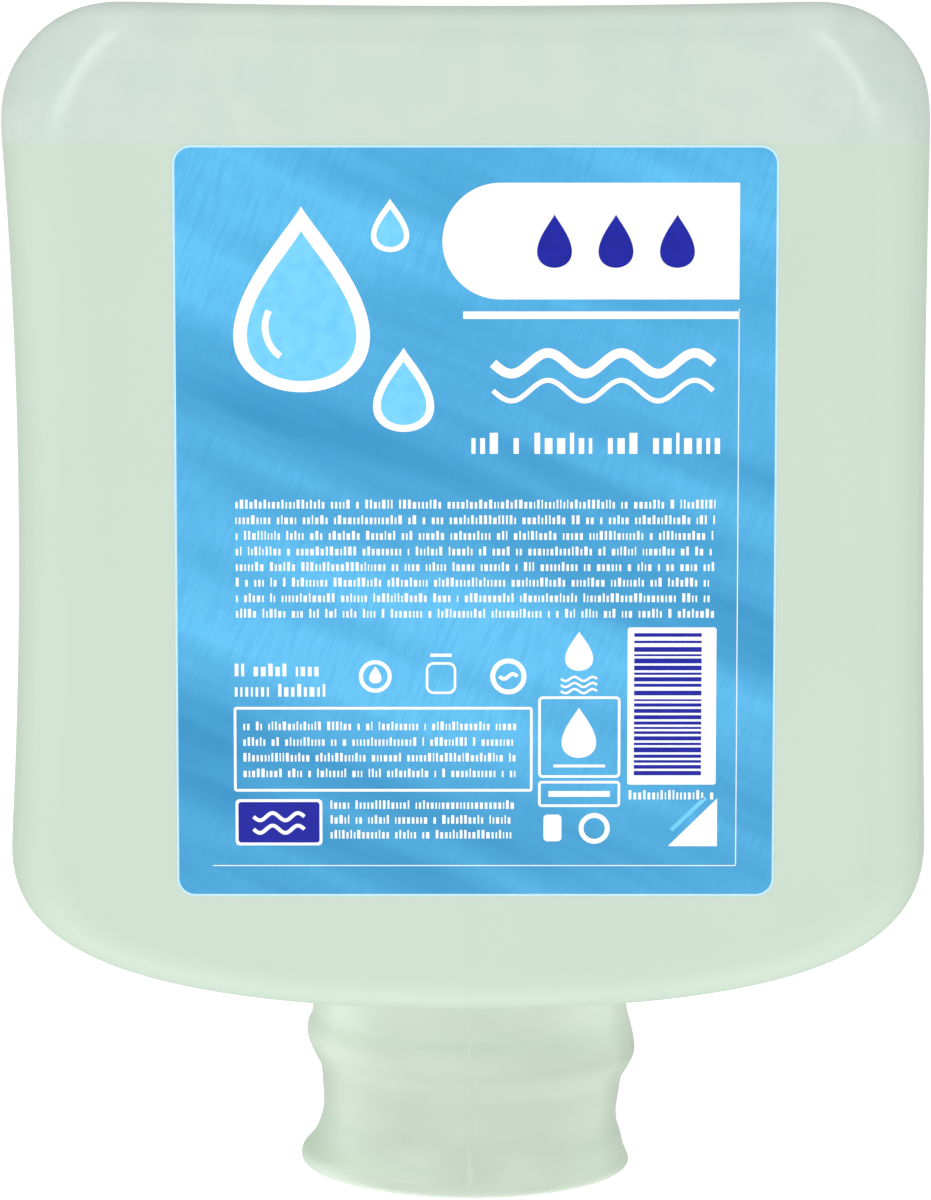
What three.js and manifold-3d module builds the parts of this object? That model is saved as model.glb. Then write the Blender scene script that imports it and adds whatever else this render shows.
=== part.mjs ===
// A one-litre refill cartridge of foaming hand soap for a wall dispenser, standing neck down.
// Millimetres. The origin is on the neck's axis at the hood's flat base, +Z is up, and the label
// faces -Y. Bottle, soap and label make one stack; the foam pump sits in the neck; the hood
// pulls down off the collar.
import * as THREE from "three";
import { mergeVertices } from "three/addons/utils/BufferGeometryUtils.js";
import Module from "manifold-3d";

const wasm = await Module();
wasm.setup();

// Clearances
const GAP = 0.3; // between pieces that slide, or that are cut to fit each other
const HOOD_FIT = 0.35; // between the collar's bead and the hood's mouth

// Bottle body, as half widths from the neck's axis in the front view
const TOP_Z = 152.8;
const SHOULDER_Z = 29.1;
const BODY_DEPTH = 92;
const WALL = 1;
const LEFT_WIDTH = { low: 57.1, middle: 55.75, top: 57.5 };
const RIGHT_WIDTH = { low: 56.6, middle: 56, top: 56.3 };
const LEFT_CORNER_R = 14;
const RIGHT_CORNER_R = 13;
const SHOULDER_RISE = { left: 19, right: 19.5 }; // height over which the shoulder turns up into the walls
const SHOULDER_FLAT = 31; // half width over which the shoulder leaves the neck level
const SHOULDER_ELBOW = 0.23; // share of that rise at which the curve's second handle stands
const SIDE_EDGE_R = 10; // rounding between the front face and the side walls
const END_EDGE_R = 5; // the same at the top and at the shoulder
const TOP_DIP = 0.6; // how far the top edge sags between its corners
const DISH_R = 34;
const DISH_DEPTH = 2.6;
const FACET = { across: 16.6, down: 21.7, back: 12 }; // plane cut off each upper corner
const HEADSPACE = 17;
const LIQUID_Z = TOP_Z - HEADSPACE;

// Label
const LABEL = { width: 73, height: 91.4, corner: 2.2, film: 0.12, side: 0.65, below: 17.35 };

// Neck
const NECK_R = 16;
const NECK_WALL = 1.8;
const NECK_MOUTH_Z = 16.6;
const NECK_BORE_R = NECK_R - NECK_WALL;
const NECK_BEAD_R = NECK_R + 0.9;
const NECK_FLARE = 4; // how far the neck widens where it meets the shoulder

// Ring that clamps the pump in the neck
const FLANGE_T = 1;
const GASKET_T = 1;
const COLLAR_FLOOR_T = 1.4;
const COLLAR_Z = NECK_MOUTH_Z - GASKET_T - FLANGE_T - COLLAR_FLOOR_T;
const COLLAR_H = SHOULDER_Z - COLLAR_Z - 3.9; // leaves room for the neck's flare
const COLLAR_WALL = 1.3;
const COLLAR_BORE_R = NECK_BEAD_R + GAP;
const COLLAR_R = COLLAR_BORE_R + COLLAR_WALL;
const COLLAR_BEAD_R = COLLAR_R + 1.05;
const COLLAR_BEAD_Z = COLLAR_Z + 2;
const COLLAR_BEAD_H = 3.6;

// Transit hood
const HOOD_H = SHOULDER_Z - 0.8;
const HOOD_WALL = 1;
const HOOD_FLOOR = 1.4;
const HOOD_MOUTH_R = COLLAR_BEAD_R + HOOD_FIT;
const HOOD_LIP_R = HOOD_MOUTH_R + HOOD_WALL;
const HOOD_BEAD_R = HOOD_LIP_R + 1.3;
const HOOD_WAIST_R = HOOD_LIP_R - 1.35;
const HOOD_FOOT_R = HOOD_LIP_R + 1.1;
const HOOD_BORE_R = HOOD_WAIST_R - 1.1;
const HOOD_WAIST_Z = 7.5;
const HOOD_BEAD_FOOT_Z = COLLAR_Z;
const HOOD_BEAD_Z = HOOD_BEAD_FOOT_Z + 4.1;
const HOOD_BEAD_TOP_Z = HOOD_BEAD_Z + 3.6;
const HOOD_LEDGE_Z = COLLAR_Z - 1.3;
const HOOD_LEAN = 0.04; // slope of the rim, waist and bead, which stand askew in the photograph
const HOOD_RIM_Z = 0.9;
const HOOD_RIM_SHIFT = -0.9; // sideways, of the widest ring of the foot
const HOOD_BASE_SHIFT = 1; // sideways, of the flat base

// Pump housing
const HOUSING_WALL = 1.2;
const HOUSING_Z = COLLAR_Z + COLLAR_FLOOR_T;
const HOUSING_R = NECK_BORE_R - 1;
const AIR_R = HOUSING_R - HOUSING_WALL;
const AIR_CYLINDER_H = 18.4;
const SOAP_R = 5.2;
const SOAP_CYLINDER_R = SOAP_R + HOUSING_WALL;
const SOAP_CYLINDER_H = 17.2;
const AIR_TOP_Z = HOUSING_Z + AIR_CYLINDER_H;
const SOAP_TOP_Z = AIR_TOP_Z + SOAP_CYLINDER_H;
const INLET_PORTS = 6;
const INLET_PORT_R = 0.7;
const INLET_PORT_RING_R = 2.9;
const VALVE_STEM_R = 1.1;
const VALVE_KNOB_H = 1.9;
const VALVE_SEAT_GAP = 0.15;

// Piston group, which the dispenser's fork lifts by the flange
const STROKE = 7.5;
const STEM_R = 6;
const STEM_BORE_R = 4.6;
const OUTLET_R = 2.6;
const NOZZLE_TIP_Z = 2.9;
const FORK_FLANGE_T = 1.2;
const FORK_FLANGE_R = HOOD_BORE_R - 6;
const FORK_FLANGE_TOP_Z = COLLAR_Z - STROKE - 0.6;
const STEM_SHOULDER_R = 7.2;
const STEM_SHOULDER_H = 1.9;
const PISTON_Z = HOUSING_Z + GAP;
const COLLAR_HOLE_R = STEM_SHOULDER_R + GAP + 0.1;
const AIR_PISTON_H = 4.5;
const AIR_PISTON_T = 1.2;
const AIR_LIP_T = 0.9;
const AIR_HUB_T = 1.1;
const STEM_TOP_Z = PISTON_Z + AIR_PISTON_H;
const MESH_T = 0.4;
const MIXING_TUBE_H = 9;
const FLAP_ROOM = 0.15; // over the upper screen, where the flap opens
const MIXING_WALL = 1;
const FLAP_T = 0.4;
const FLAP_LIFT = 0.05; // between the flap and the soap passage it closes
const LIQUID_STEM_R = 3.6;
const MIXING_LEDGE_Z = STEM_TOP_Z - FLAP_LIFT - FLAP_T - FLAP_ROOM - 2 * MESH_T - MIXING_TUBE_H;
const LIQUID_BORE_R = 2.2;
const LIQUID_HEAD_T = 3;
const LIQUID_PISTON_H = 20;
const SPRING_WIRE = 0.9;
const SPRING_R = AIR_R - 3;
const SPRING_TURNS = 6;

// Facets on round pieces
const ROUND = 48;
const FINE_ROUND = 48;
const ROUND_INSIDE = 36;
const SMALL_ROUND = 24;
const EDGE_STEPS = 4;
const CURVE_STEPS = 8;

const material = (color, roughness, options = {}) =>
  new THREE.MeshStandardMaterial({ color, roughness, metalness: 0, ...options });

const milky = material(0xd3e4d4, 0.4);
const hoodPlastic = material(0xcbdbcb, 0.42);
const soapLiquid = material(0xdfeede, 0.1);
const labelFilm = material(0x55a5d9, 0.35);
const whitePlastic = material(0xf0f1ee, 0.35);
const clearSilicone = material(0xe6e6e0, 0.5);
const meshFabric = material(0xf5f5f5, 0.8);
const springSteel = material(0xb8babd, 0.3, { metalness: 1 });

const group = new THREE.Group();

function addPiece(name, geometry, surface, z = 0) {
  const mesh = new THREE.Mesh(geometry, surface);
  mesh.name = name;
  mesh.position.z = z;
  group.add(mesh);
  return mesh;
}

// A geometry with shared corners only, its faces turned outwards.
function closed(geometry) {
  const bare = geometry.clone();
  bare.deleteAttribute("normal");
  bare.deleteAttribute("uv");
  const merged = mergeVertices(bare, 1e-4);
  const corners = merged.attributes.position.array;
  const faces = merged.index.array;
  const corner = (k) => new THREE.Vector3().fromArray(corners, 3 * faces[k]);
  let volume = 0;
  for (let i = 0; i < faces.length; i += 3)
    volume += corner(i).dot(corner(i + 1).cross(corner(i + 2)));
  if (volume < 0)
    for (let i = 0; i < faces.length; i += 3)
      [faces[i + 1], faces[i + 2]] = [faces[i + 2], faces[i + 1]];
  return merged;
}

function toSolid(geometry) {
  const merged = closed(geometry);
  return new wasm.Manifold(
    new wasm.Mesh({
      numProp: 3,
      vertProperties: new Float32Array(merged.attributes.position.array),
      triVerts: new Uint32Array(merged.index.array),
    }),
  );
}

function toGeometry(solid) {
  const mesh = solid.getMesh();
  return new THREE.BufferGeometry()
    .setAttribute("position", new THREE.BufferAttribute(mesh.vertProperties, 3))
    .setIndex(new THREE.BufferAttribute(mesh.triVerts, 1));
}

// A solid of revolution about Z from [radius, height] pairs. A profile off the axis is closed into a ring.
function turned(profile, segments = ROUND) {
  const points = profile.map(([r, z]) => new THREE.Vector2(r, z));
  const onAxis = points[0].x === 0 && points.at(-1).x === 0;
  if (!onAxis) points.push(points[0].clone());
  return closed(new THREE.LatheGeometry(points, segments).rotateX(Math.PI / 2));
}

const ring = (inner, outer, z, height, segments) =>
  turned([[inner, z], [outer, z], [outer, z + height], [inner, z + height]], segments);

// Bottle body: the front outline, drawn once and carried through the depth with rounded edges.
// A control point's width makes a wall's Bezier curve pass through its middle width.
const bowWidth = ({ low, middle, top }) => (8 * middle - low - top) / 6;

function bodyOutline() {
  const right = RIGHT_WIDTH;
  const left = LEFT_WIDTH;
  const foot = (rise) => SHOULDER_Z + rise;
  const elbow = (rise) => SHOULDER_Z + SHOULDER_ELBOW * rise;
  const wall = (rise, cornerR, t) => THREE.MathUtils.lerp(foot(rise), TOP_Z - cornerR, t);
  const rightWall = (t) => wall(SHOULDER_RISE.right, RIGHT_CORNER_R, t);
  const leftWall = (t) => wall(SHOULDER_RISE.left, LEFT_CORNER_R, t);
  const shape = new THREE.Shape();
  shape.moveTo(0, SHOULDER_Z);
  shape.bezierCurveTo(SHOULDER_FLAT, SHOULDER_Z, right.low, elbow(SHOULDER_RISE.right),
    right.low, rightWall(0));
  shape.bezierCurveTo(bowWidth(right), rightWall(1 / 3), bowWidth(right), rightWall(2 / 3),
    right.top, rightWall(1));
  shape.absarc(right.top - RIGHT_CORNER_R, TOP_Z - RIGHT_CORNER_R, RIGHT_CORNER_R, 0, Math.PI / 2);
  shape.bezierCurveTo(right.top / 3, TOP_Z - TOP_DIP * 4 / 3, -left.top / 3, TOP_Z - TOP_DIP * 4 / 3,
    LEFT_CORNER_R - left.top, TOP_Z);
  shape.absarc(LEFT_CORNER_R - left.top, TOP_Z - LEFT_CORNER_R, LEFT_CORNER_R, Math.PI / 2, Math.PI);
  shape.bezierCurveTo(-bowWidth(left), leftWall(2 / 3), -bowWidth(left), leftWall(1 / 3),
    -left.low, leftWall(0));
  shape.bezierCurveTo(-left.low, elbow(SHOULDER_RISE.left), -SHOULDER_FLAT, SHOULDER_Z, 0, SHOULDER_Z);
  const points = shape.getPoints(CURVE_STEPS);
  const apart = points.filter((p, i) => p.distanceTo(points[(i + 1) % points.length]) > 0.01);
  return apart.map((p, i) => {
    const along = apart[(i + 1) % apart.length].clone().sub(apart.at(i - 1)).normalize();
    return { p, normal: new THREE.Vector2(along.y, -along.x) };
  });
}

// The closed body whose surface lies `inset` inside the bottle's outer skin.
function bodyShell(inset) {
  const outline = bodyOutline();
  const count = outline.length;
  const corners = [];
  const faces = [];
  const half = BODY_DEPTH / 2 - inset;
  const middleZ = (TOP_Z + SHOULDER_Z) / 2;
  const addRing = (turn, side) => {
    for (const { p, normal } of outline) {
      const share = normal.x * normal.x;
      const round = Math.max(SIDE_EDGE_R * share + END_EDGE_R * (1 - share) - inset, 1);
      const inwards = inset + round * (1 - Math.cos(turn));
      corners.push(p.x - normal.x * inwards, side * (half - round * (1 - Math.sin(turn))),
        p.y - normal.y * inwards);
    }
  };
  const turns = Array.from({ length: EDGE_STEPS + 1 }, (_, k) => ((k / EDGE_STEPS) * Math.PI) / 2);
  for (const turn of [...turns].reverse()) addRing(turn, -1);
  for (const turn of turns) addRing(turn, 1);
  const rings = 2 * turns.length;
  for (let r = 0; r + 1 < rings; r++)
    for (let i = 0; i < count; i++) {
      const next = (i + 1) % count;
      const [a, b] = [r * count + i, r * count + next];
      faces.push(a, a + count, b, b, a + count, b + count);
    }
  const front = corners.length / 3;
  corners.push(0, -half, middleZ, 0, half, middleZ);
  for (let i = 0; i < count; i++) {
    const next = (i + 1) % count;
    const last = (rings - 1) * count;
    faces.push(front, i, next, front + 1, last + next, last + i);
  }
  const geometry = new THREE.BufferGeometry()
    .setAttribute("position", new THREE.Float32BufferAttribute(corners, 3))
    .setIndex(faces);
  let solid = toSolid(geometry);
  for (const x of [-1, 1]) for (const y of [-1, 1]) solid = solid.subtract(cornerCut(x, y, inset));
  return solid.subtract(dish(inset));
}

// The wedge outside the plane that bevels one upper corner, moved inwards with the skin.
function cornerCut(x, y, inset) {
  const { across, down, back } = FACET;
  const beyond = 1;
  const steep = Math.hypot(1 / across, 1 / down, 1 / back);
  const scale = 1 + beyond * (1 / across + 1 / down + 1 / back) + inset * steep;
  const width = x < 0 ? LEFT_WIDTH.top : RIGHT_WIDTH.top;
  const tip = [x * (width + beyond), y * (BODY_DEPTH / 2 + beyond), TOP_Z + beyond];
  const at = (dx, dy, dz) => [tip[0] - x * dx * scale, tip[1] - y * dy * scale, tip[2] - dz * scale];
  const corners = [tip, at(across, 0, 0), at(0, back, 0), at(0, 0, down)].flat();
  const wedge = new THREE.BufferGeometry()
    .setAttribute("position", new THREE.Float32BufferAttribute(corners, 3))
    .setIndex([0, 1, 2, 0, 2, 3, 0, 3, 1, 1, 3, 2]);
  return toSolid(wedge);
}

// The shallow hollow in the top, which is the base that the bottle stands on while it is filled.
function dish(inset) {
  const steps = 6;
  const rim = TOP_Z - TOP_DIP - inset;
  const profile = [[0, rim + 4]];
  profile.push([DISH_R, rim + 4]);
  for (let k = steps; k >= 0; k--)
    profile.push([(DISH_R * k) / steps, rim - DISH_DEPTH * (1 - (k / steps) ** 2)]);
  return toSolid(turned(profile, ROUND));
}

// Neck, from its open mouth up into the body
const neckOutside = turned([
  [0, NECK_MOUTH_Z],
  [NECK_R, NECK_MOUTH_Z],
  [NECK_R, NECK_MOUTH_Z + 4],
  [NECK_BEAD_R, NECK_MOUTH_Z + 4.5],
  [NECK_BEAD_R, NECK_MOUTH_Z + 5.5],
  [NECK_R, NECK_MOUTH_Z + 6],
  [NECK_R, SHOULDER_Z - 3],
  [NECK_R + NECK_FLARE, SHOULDER_Z + 0.6],
  [0, SHOULDER_Z + 0.6],
]);
const neckBore = turned([
  [0, NECK_MOUTH_Z - 1],
  [NECK_BORE_R, NECK_MOUTH_Z - 1],
  [NECK_BORE_R, SHOULDER_Z - 2],
  [NECK_BORE_R + NECK_FLARE, SHOULDER_Z + 2 * WALL],
  [0, SHOULDER_Z + 2 * WALL],
]);
const bottle = bodyShell(0)
  .add(toSolid(neckOutside))
  .subtract(bodyShell(WALL).add(toSolid(neckBore)));
addPiece("bottle", toGeometry(bottle), milky);

// Soap, up to its level, around the pump
const airSpace = new THREE.BoxGeometry(3 * LEFT_WIDTH.top, 2 * BODY_DEPTH, 2 * HEADSPACE);
airSpace.translate(0, 0, LIQUID_Z + HEADSPACE);
const pumpWell = turned([
  [0, SHOULDER_Z - 2],
  [HOUSING_R + GAP, SHOULDER_Z - 2],
  [HOUSING_R + GAP, AIR_TOP_Z + GAP],
  [SOAP_CYLINDER_R + GAP, AIR_TOP_Z + GAP],
  [SOAP_CYLINDER_R + GAP, SOAP_TOP_Z + VALVE_KNOB_H + GAP],
  [0, SOAP_TOP_Z + VALVE_KNOB_H + GAP],
]);
const soap = bodyShell(WALL + GAP)
  .subtract(toSolid(airSpace))
  .subtract(toSolid(pumpWell));
addPiece("soap_fill", toGeometry(soap), soapLiquid);

// Label, face to face with the front
function labelOutline() {
  const { width, height, corner } = LABEL;
  const [x, z] = [width / 2 - corner, height / 2 - corner];
  return new THREE.Shape()
    .absarc(x, z, corner, 0, Math.PI / 2)
    .absarc(-x, z, corner, Math.PI / 2, Math.PI)
    .absarc(-x, -z, corner, Math.PI, Math.PI * 1.5)
    .absarc(x, -z, corner, Math.PI * 1.5, Math.PI * 2);
}
const labelSheet = closed(
  new THREE.ExtrudeGeometry(labelOutline(), { depth: LABEL.film, bevelEnabled: false, curveSegments: 5 }),
);
const label = addPiece("label", labelSheet, labelFilm);
label.rotation.x = Math.PI / 2;
label.position.set(LABEL.side, -BODY_DEPTH / 2, TOP_Z - LABEL.below - LABEL.height / 2);

// Collar, with the bead that holds the hood
addPiece("collar", turned([
  [COLLAR_HOLE_R, 0],
  [COLLAR_R, 0],
  [COLLAR_R, COLLAR_BEAD_Z - COLLAR_Z - 0.5],
  [COLLAR_BEAD_R, COLLAR_BEAD_Z - COLLAR_Z],
  [COLLAR_BEAD_R, COLLAR_BEAD_Z - COLLAR_Z + COLLAR_BEAD_H],
  [COLLAR_R, COLLAR_BEAD_Z - COLLAR_Z + COLLAR_BEAD_H + 0.5],
  [COLLAR_R, COLLAR_H],
  [COLLAR_BORE_R, COLLAR_H],
  [COLLAR_BORE_R, COLLAR_FLOOR_T],
  [COLLAR_HOLE_R, COLLAR_FLOOR_T],
]), whitePlastic, COLLAR_Z);

addPiece("neck_gasket", ring(NECK_BORE_R - 0.6, NECK_R, 0, GASKET_T), clearSilicone,
  NECK_MOUTH_Z - GASKET_T);

// Hood: a spool-shaped cup, leaning as it does in the photograph between a flat base and a level lip
function hoodOutside() {
  const path = new THREE.Path();
  path.moveTo(0, 0);
  path.lineTo(HOOD_FOOT_R - 0.6, 0);
  path.quadraticCurveTo(HOOD_FOOT_R, 0, HOOD_FOOT_R, HOOD_RIM_Z);
  path.bezierCurveTo(HOOD_FOOT_R, HOOD_RIM_Z + 0.9, HOOD_WAIST_R + 0.35, HOOD_WAIST_Z - 3.9,
    HOOD_WAIST_R, HOOD_WAIST_Z);
  path.lineTo(HOOD_LIP_R - 0.5, HOOD_BEAD_FOOT_Z);
  path.bezierCurveTo(HOOD_LIP_R + 0.2, HOOD_BEAD_FOOT_Z + 1, HOOD_BEAD_R, HOOD_BEAD_Z - 2,
    HOOD_BEAD_R, HOOD_BEAD_Z);
  path.bezierCurveTo(HOOD_BEAD_R, HOOD_BEAD_Z + 1.8, HOOD_LIP_R + 0.6, HOOD_BEAD_TOP_Z - 0.4,
    HOOD_LIP_R, HOOD_BEAD_TOP_Z);
  path.lineTo(HOOD_LIP_R, HOOD_H);
  return path.getPoints(4).map(({ x, y }) => [x, y]);
}
const ramp = (z, fromZ, toZ, from, to) =>
  THREE.MathUtils.lerp(from, to, THREE.MathUtils.clamp((z - fromZ) / (toZ - fromZ), 0, 1));
function leaned(geometry) {
  const at = geometry.attributes.position;
  for (let i = 0; i < at.count; i++) {
    const [x, z] = [at.getX(i), at.getZ(i)];
    const slope = ramp(z, 0, HOOD_RIM_Z, 0, HOOD_LEAN) * ramp(z, HOOD_BEAD_Z, HOOD_BEAD_TOP_Z, 1, 0);
    const shift = z < HOOD_RIM_Z
      ? ramp(z, 0, HOOD_RIM_Z, HOOD_BASE_SHIFT, HOOD_RIM_SHIFT)
      : ramp(z, HOOD_RIM_Z, HOOD_WAIST_Z, HOOD_RIM_SHIFT, 0);
    at.setX(i, x + shift);
    at.setZ(i, z - x * slope);
  }
  return geometry;
}
addPiece("hood", leaned(turned([
  ...hoodOutside(),
  [HOOD_MOUTH_R, HOOD_H],
  [HOOD_MOUTH_R, HOOD_LEDGE_Z],
  [HOOD_BORE_R, HOOD_LEDGE_Z],
  [HOOD_BORE_R, HOOD_FLOOR + 1],
  [HOOD_BORE_R - 1, HOOD_FLOOR],
  [0, HOOD_FLOOR],
], FINE_ROUND)), hoodPlastic);

// Pump housing: air cylinder below, soap cylinder above, flange on the neck's gasket
const soapRoof = AIR_CYLINDER_H + SOAP_CYLINDER_H;
const housingBlank = turned([
  [AIR_R, 0],
  [NECK_R - 0.7, 0],
  [NECK_R - 0.7, FLANGE_T],
  [HOUSING_R, FLANGE_T],
  [HOUSING_R, AIR_CYLINDER_H],
  [SOAP_CYLINDER_R, AIR_CYLINDER_H],
  [SOAP_CYLINDER_R, soapRoof],
  [VALVE_STEM_R + GAP, soapRoof],
  [VALVE_STEM_R + GAP, soapRoof - HOUSING_WALL],
  [SOAP_R, soapRoof - HOUSING_WALL],
  [SOAP_R, AIR_CYLINDER_H - HOUSING_WALL],
  [AIR_R, AIR_CYLINDER_H - HOUSING_WALL],
], ROUND_INSIDE);
let housing = toSolid(housingBlank);
for (let k = 0; k < INLET_PORTS; k++) {
  const angle = (k * 2 * Math.PI) / INLET_PORTS;
  const port = new THREE.CylinderGeometry(INLET_PORT_R, INLET_PORT_R, 3 * HOUSING_WALL, 10);
  port.rotateX(Math.PI / 2);
  port.translate(INLET_PORT_RING_R * Math.cos(angle), INLET_PORT_RING_R * Math.sin(angle), soapRoof);
  housing = housing.subtract(toSolid(port));
}
addPiece("pump_housing", toGeometry(housing), whitePlastic, HOUSING_Z);

// Umbrella valve, hung through the roof of the soap cylinder
addPiece("inlet_valve", turned([
  [0, -HOUSING_WALL - 1],
  [SOAP_R - 1, -HOUSING_WALL - 0.8],
  [SOAP_R - 1, -HOUSING_WALL - VALVE_SEAT_GAP],
  [VALVE_STEM_R, -HOUSING_WALL - VALVE_SEAT_GAP],
  [VALVE_STEM_R, VALVE_SEAT_GAP],
  [VALVE_STEM_R + 0.8, VALVE_SEAT_GAP + 0.25],
  [VALVE_STEM_R + 0.8, VALVE_SEAT_GAP + 0.75],
  [0, VALVE_KNOB_H],
], SMALL_ROUND), clearSilicone, SOAP_TOP_Z);

// Nozzle: outlet, fork flange, stem and the bore that holds the mixing tube
const nozzle = (z) => z - NOZZLE_TIP_Z;
addPiece("nozzle", turned([
  [OUTLET_R, 0],
  [STEM_R - 1.2, 0],
  [STEM_R, 1],
  [FORK_FLANGE_R - 0.3, nozzle(FORK_FLANGE_TOP_Z - FORK_FLANGE_T)],
  [FORK_FLANGE_R, nozzle(FORK_FLANGE_TOP_Z - FORK_FLANGE_T) + 0.3],
  [FORK_FLANGE_R, nozzle(FORK_FLANGE_TOP_Z)],
  [STEM_R, nozzle(FORK_FLANGE_TOP_Z)],
  [STEM_R, nozzle(PISTON_Z - STEM_SHOULDER_H)],
  [STEM_SHOULDER_R, nozzle(PISTON_Z - STEM_SHOULDER_H) + 0.6],
  [STEM_SHOULDER_R, nozzle(PISTON_Z)],
  [STEM_R, nozzle(PISTON_Z)],
  [STEM_R, nozzle(STEM_TOP_Z)],
  [STEM_BORE_R, nozzle(STEM_TOP_Z)],
  [STEM_BORE_R, nozzle(MIXING_LEDGE_Z)],
  [OUTLET_R, nozzle(MIXING_LEDGE_Z)],
], ROUND_INSIDE), whitePlastic, NOZZLE_TIP_Z);

// Air piston: hub on the stem's shoulder, thin web, double-lipped rim in the air cylinder
addPiece("air_piston", turned([
  [STEM_R + GAP, 0],
  [AIR_R - GAP, 0],
  [AIR_R - GAP, AIR_PISTON_H],
  [AIR_R - GAP - AIR_LIP_T, AIR_PISTON_H],
  [AIR_R - GAP - AIR_LIP_T, AIR_PISTON_T],
  [STEM_R + GAP + AIR_HUB_T, AIR_PISTON_T],
  [STEM_R + GAP + AIR_HUB_T, AIR_PISTON_H],
  [STEM_R + GAP, AIR_PISTON_H],
], ROUND_INSIDE), whitePlastic, PISTON_Z);

// Mixing tube between its two screens, in the nozzle's bore
const screen = () =>
  turned([[0, 0], [STEM_BORE_R - GAP, 0], [STEM_BORE_R - GAP, MESH_T], [0, MESH_T]], SMALL_ROUND);
addPiece("foam_mesh_lower", screen(), meshFabric, MIXING_LEDGE_Z);
addPiece("mixing_tube",
  ring(STEM_BORE_R - GAP - MIXING_WALL, STEM_BORE_R - GAP, 0, MIXING_TUBE_H, SMALL_ROUND),
  whitePlastic, MIXING_LEDGE_Z + MESH_T);
const upperMeshZ = MIXING_LEDGE_Z + MESH_T + MIXING_TUBE_H;
addPiece("foam_mesh_upper", screen(), meshFabric, upperMeshZ);

addPiece("discharge_valve",
  turned([[0, 0], [LIQUID_STEM_R - 0.4, 0], [LIQUID_STEM_R - 0.4, FLAP_T], [0, FLAP_T]], SMALL_ROUND),
  clearSilicone, STEM_TOP_Z - FLAP_LIFT - FLAP_T);

// Liquid piston: foot on the stem's top, soap passage, lipped head in the soap cylinder
addPiece("liquid_piston", turned([
  [LIQUID_BORE_R, 0],
  [STEM_R, 0],
  [STEM_R, 1.4],
  [LIQUID_STEM_R, 2],
  [LIQUID_STEM_R, LIQUID_PISTON_H - LIQUID_HEAD_T],
  [SOAP_R - GAP, LIQUID_PISTON_H - LIQUID_HEAD_T + 0.4],
  [SOAP_R - GAP, LIQUID_PISTON_H],
  [SOAP_R - GAP - 0.7, LIQUID_PISTON_H],
  [LIQUID_BORE_R, LIQUID_PISTON_H - 1.2],
], SMALL_ROUND), whitePlastic, STEM_TOP_Z);

// Return spring, between the air piston's web and the roof of the air cylinder
class Helix extends THREE.Curve {
  constructor(radius, height, turns) {
    super();
    Object.assign(this, { radius, height, turns });
  }
  getPoint(t, target = new THREE.Vector3()) {
    const angle = 2 * Math.PI * this.turns * t;
    const { radius, height } = this;
    return target.set(radius * Math.cos(angle), radius * Math.sin(angle), height * t);
  }
}
const springSeatZ = PISTON_Z + AIR_PISTON_T + GAP + SPRING_WIRE / 2;
const springRoofZ = AIR_TOP_Z - HOUSING_WALL - GAP - SPRING_WIRE / 2;
const wire = new THREE.Shape().absarc(0, 0, SPRING_WIRE / 2, 0, 2 * Math.PI);
const coil = new THREE.ExtrudeGeometry(wire, {
  extrudePath: new Helix(SPRING_R, springRoofZ - springSeatZ, SPRING_TURNS),
  steps: SPRING_TURNS * 13,
  curveSegments: 3,
});
addPiece("return_spring", closed(coil), springSteel, springSeatZ);

export default group;
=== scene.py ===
# %% [markdown]
# # A one-litre refill of foaming hand soap, neck down
#
# The real object is a blow-moulded bottle of milky polyethylene that hangs neck down in a wall
# dispenser. A foam pump is clamped in its neck, a spool-shaped hood covers the pump until the refill
# is fitted, and one printed film covers most of the front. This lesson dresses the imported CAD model
# with smooth skins and real finishes. Lengths are written in millimetres, as a drawing would give
# them, and become metres when a mesh is made.

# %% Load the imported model
import math

import bpy
import numpy as np
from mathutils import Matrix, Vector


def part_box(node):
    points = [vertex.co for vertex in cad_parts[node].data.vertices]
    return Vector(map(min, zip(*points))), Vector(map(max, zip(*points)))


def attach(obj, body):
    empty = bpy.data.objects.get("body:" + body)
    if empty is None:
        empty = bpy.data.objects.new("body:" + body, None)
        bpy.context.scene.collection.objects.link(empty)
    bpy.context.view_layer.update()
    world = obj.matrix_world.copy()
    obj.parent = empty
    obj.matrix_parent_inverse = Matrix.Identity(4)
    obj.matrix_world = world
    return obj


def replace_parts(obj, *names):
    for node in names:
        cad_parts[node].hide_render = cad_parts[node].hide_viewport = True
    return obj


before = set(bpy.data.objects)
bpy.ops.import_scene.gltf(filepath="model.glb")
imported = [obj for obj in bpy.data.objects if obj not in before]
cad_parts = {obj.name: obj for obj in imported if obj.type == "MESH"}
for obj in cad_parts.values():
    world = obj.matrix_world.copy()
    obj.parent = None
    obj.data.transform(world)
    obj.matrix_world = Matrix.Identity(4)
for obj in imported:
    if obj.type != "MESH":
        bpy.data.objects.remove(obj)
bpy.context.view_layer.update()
MM = 0.001
print("nodes:", ", ".join(sorted(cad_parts)))

# %% [markdown]
# ## The camera
#
# The photograph looks a little down on the front of the pack: the hood's foot shows as a curve and
# the shoulder hangs lower than a level view would put it. The camera's place was worked out from the
# label's edges and the two outlines, and written here as a long lens about half a metre away. It
# comes first, so that every later look at the work is a fair comparison.

# %% Place the camera
CAMERA_SIDE = -0.57
CAMERA_DISTANCE = 563
CAMERA_HEIGHT = 135.75
CAMERA_PITCH = math.radians(6.1)
LENS = 128.4
SENSOR_WIDTH = 36

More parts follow.
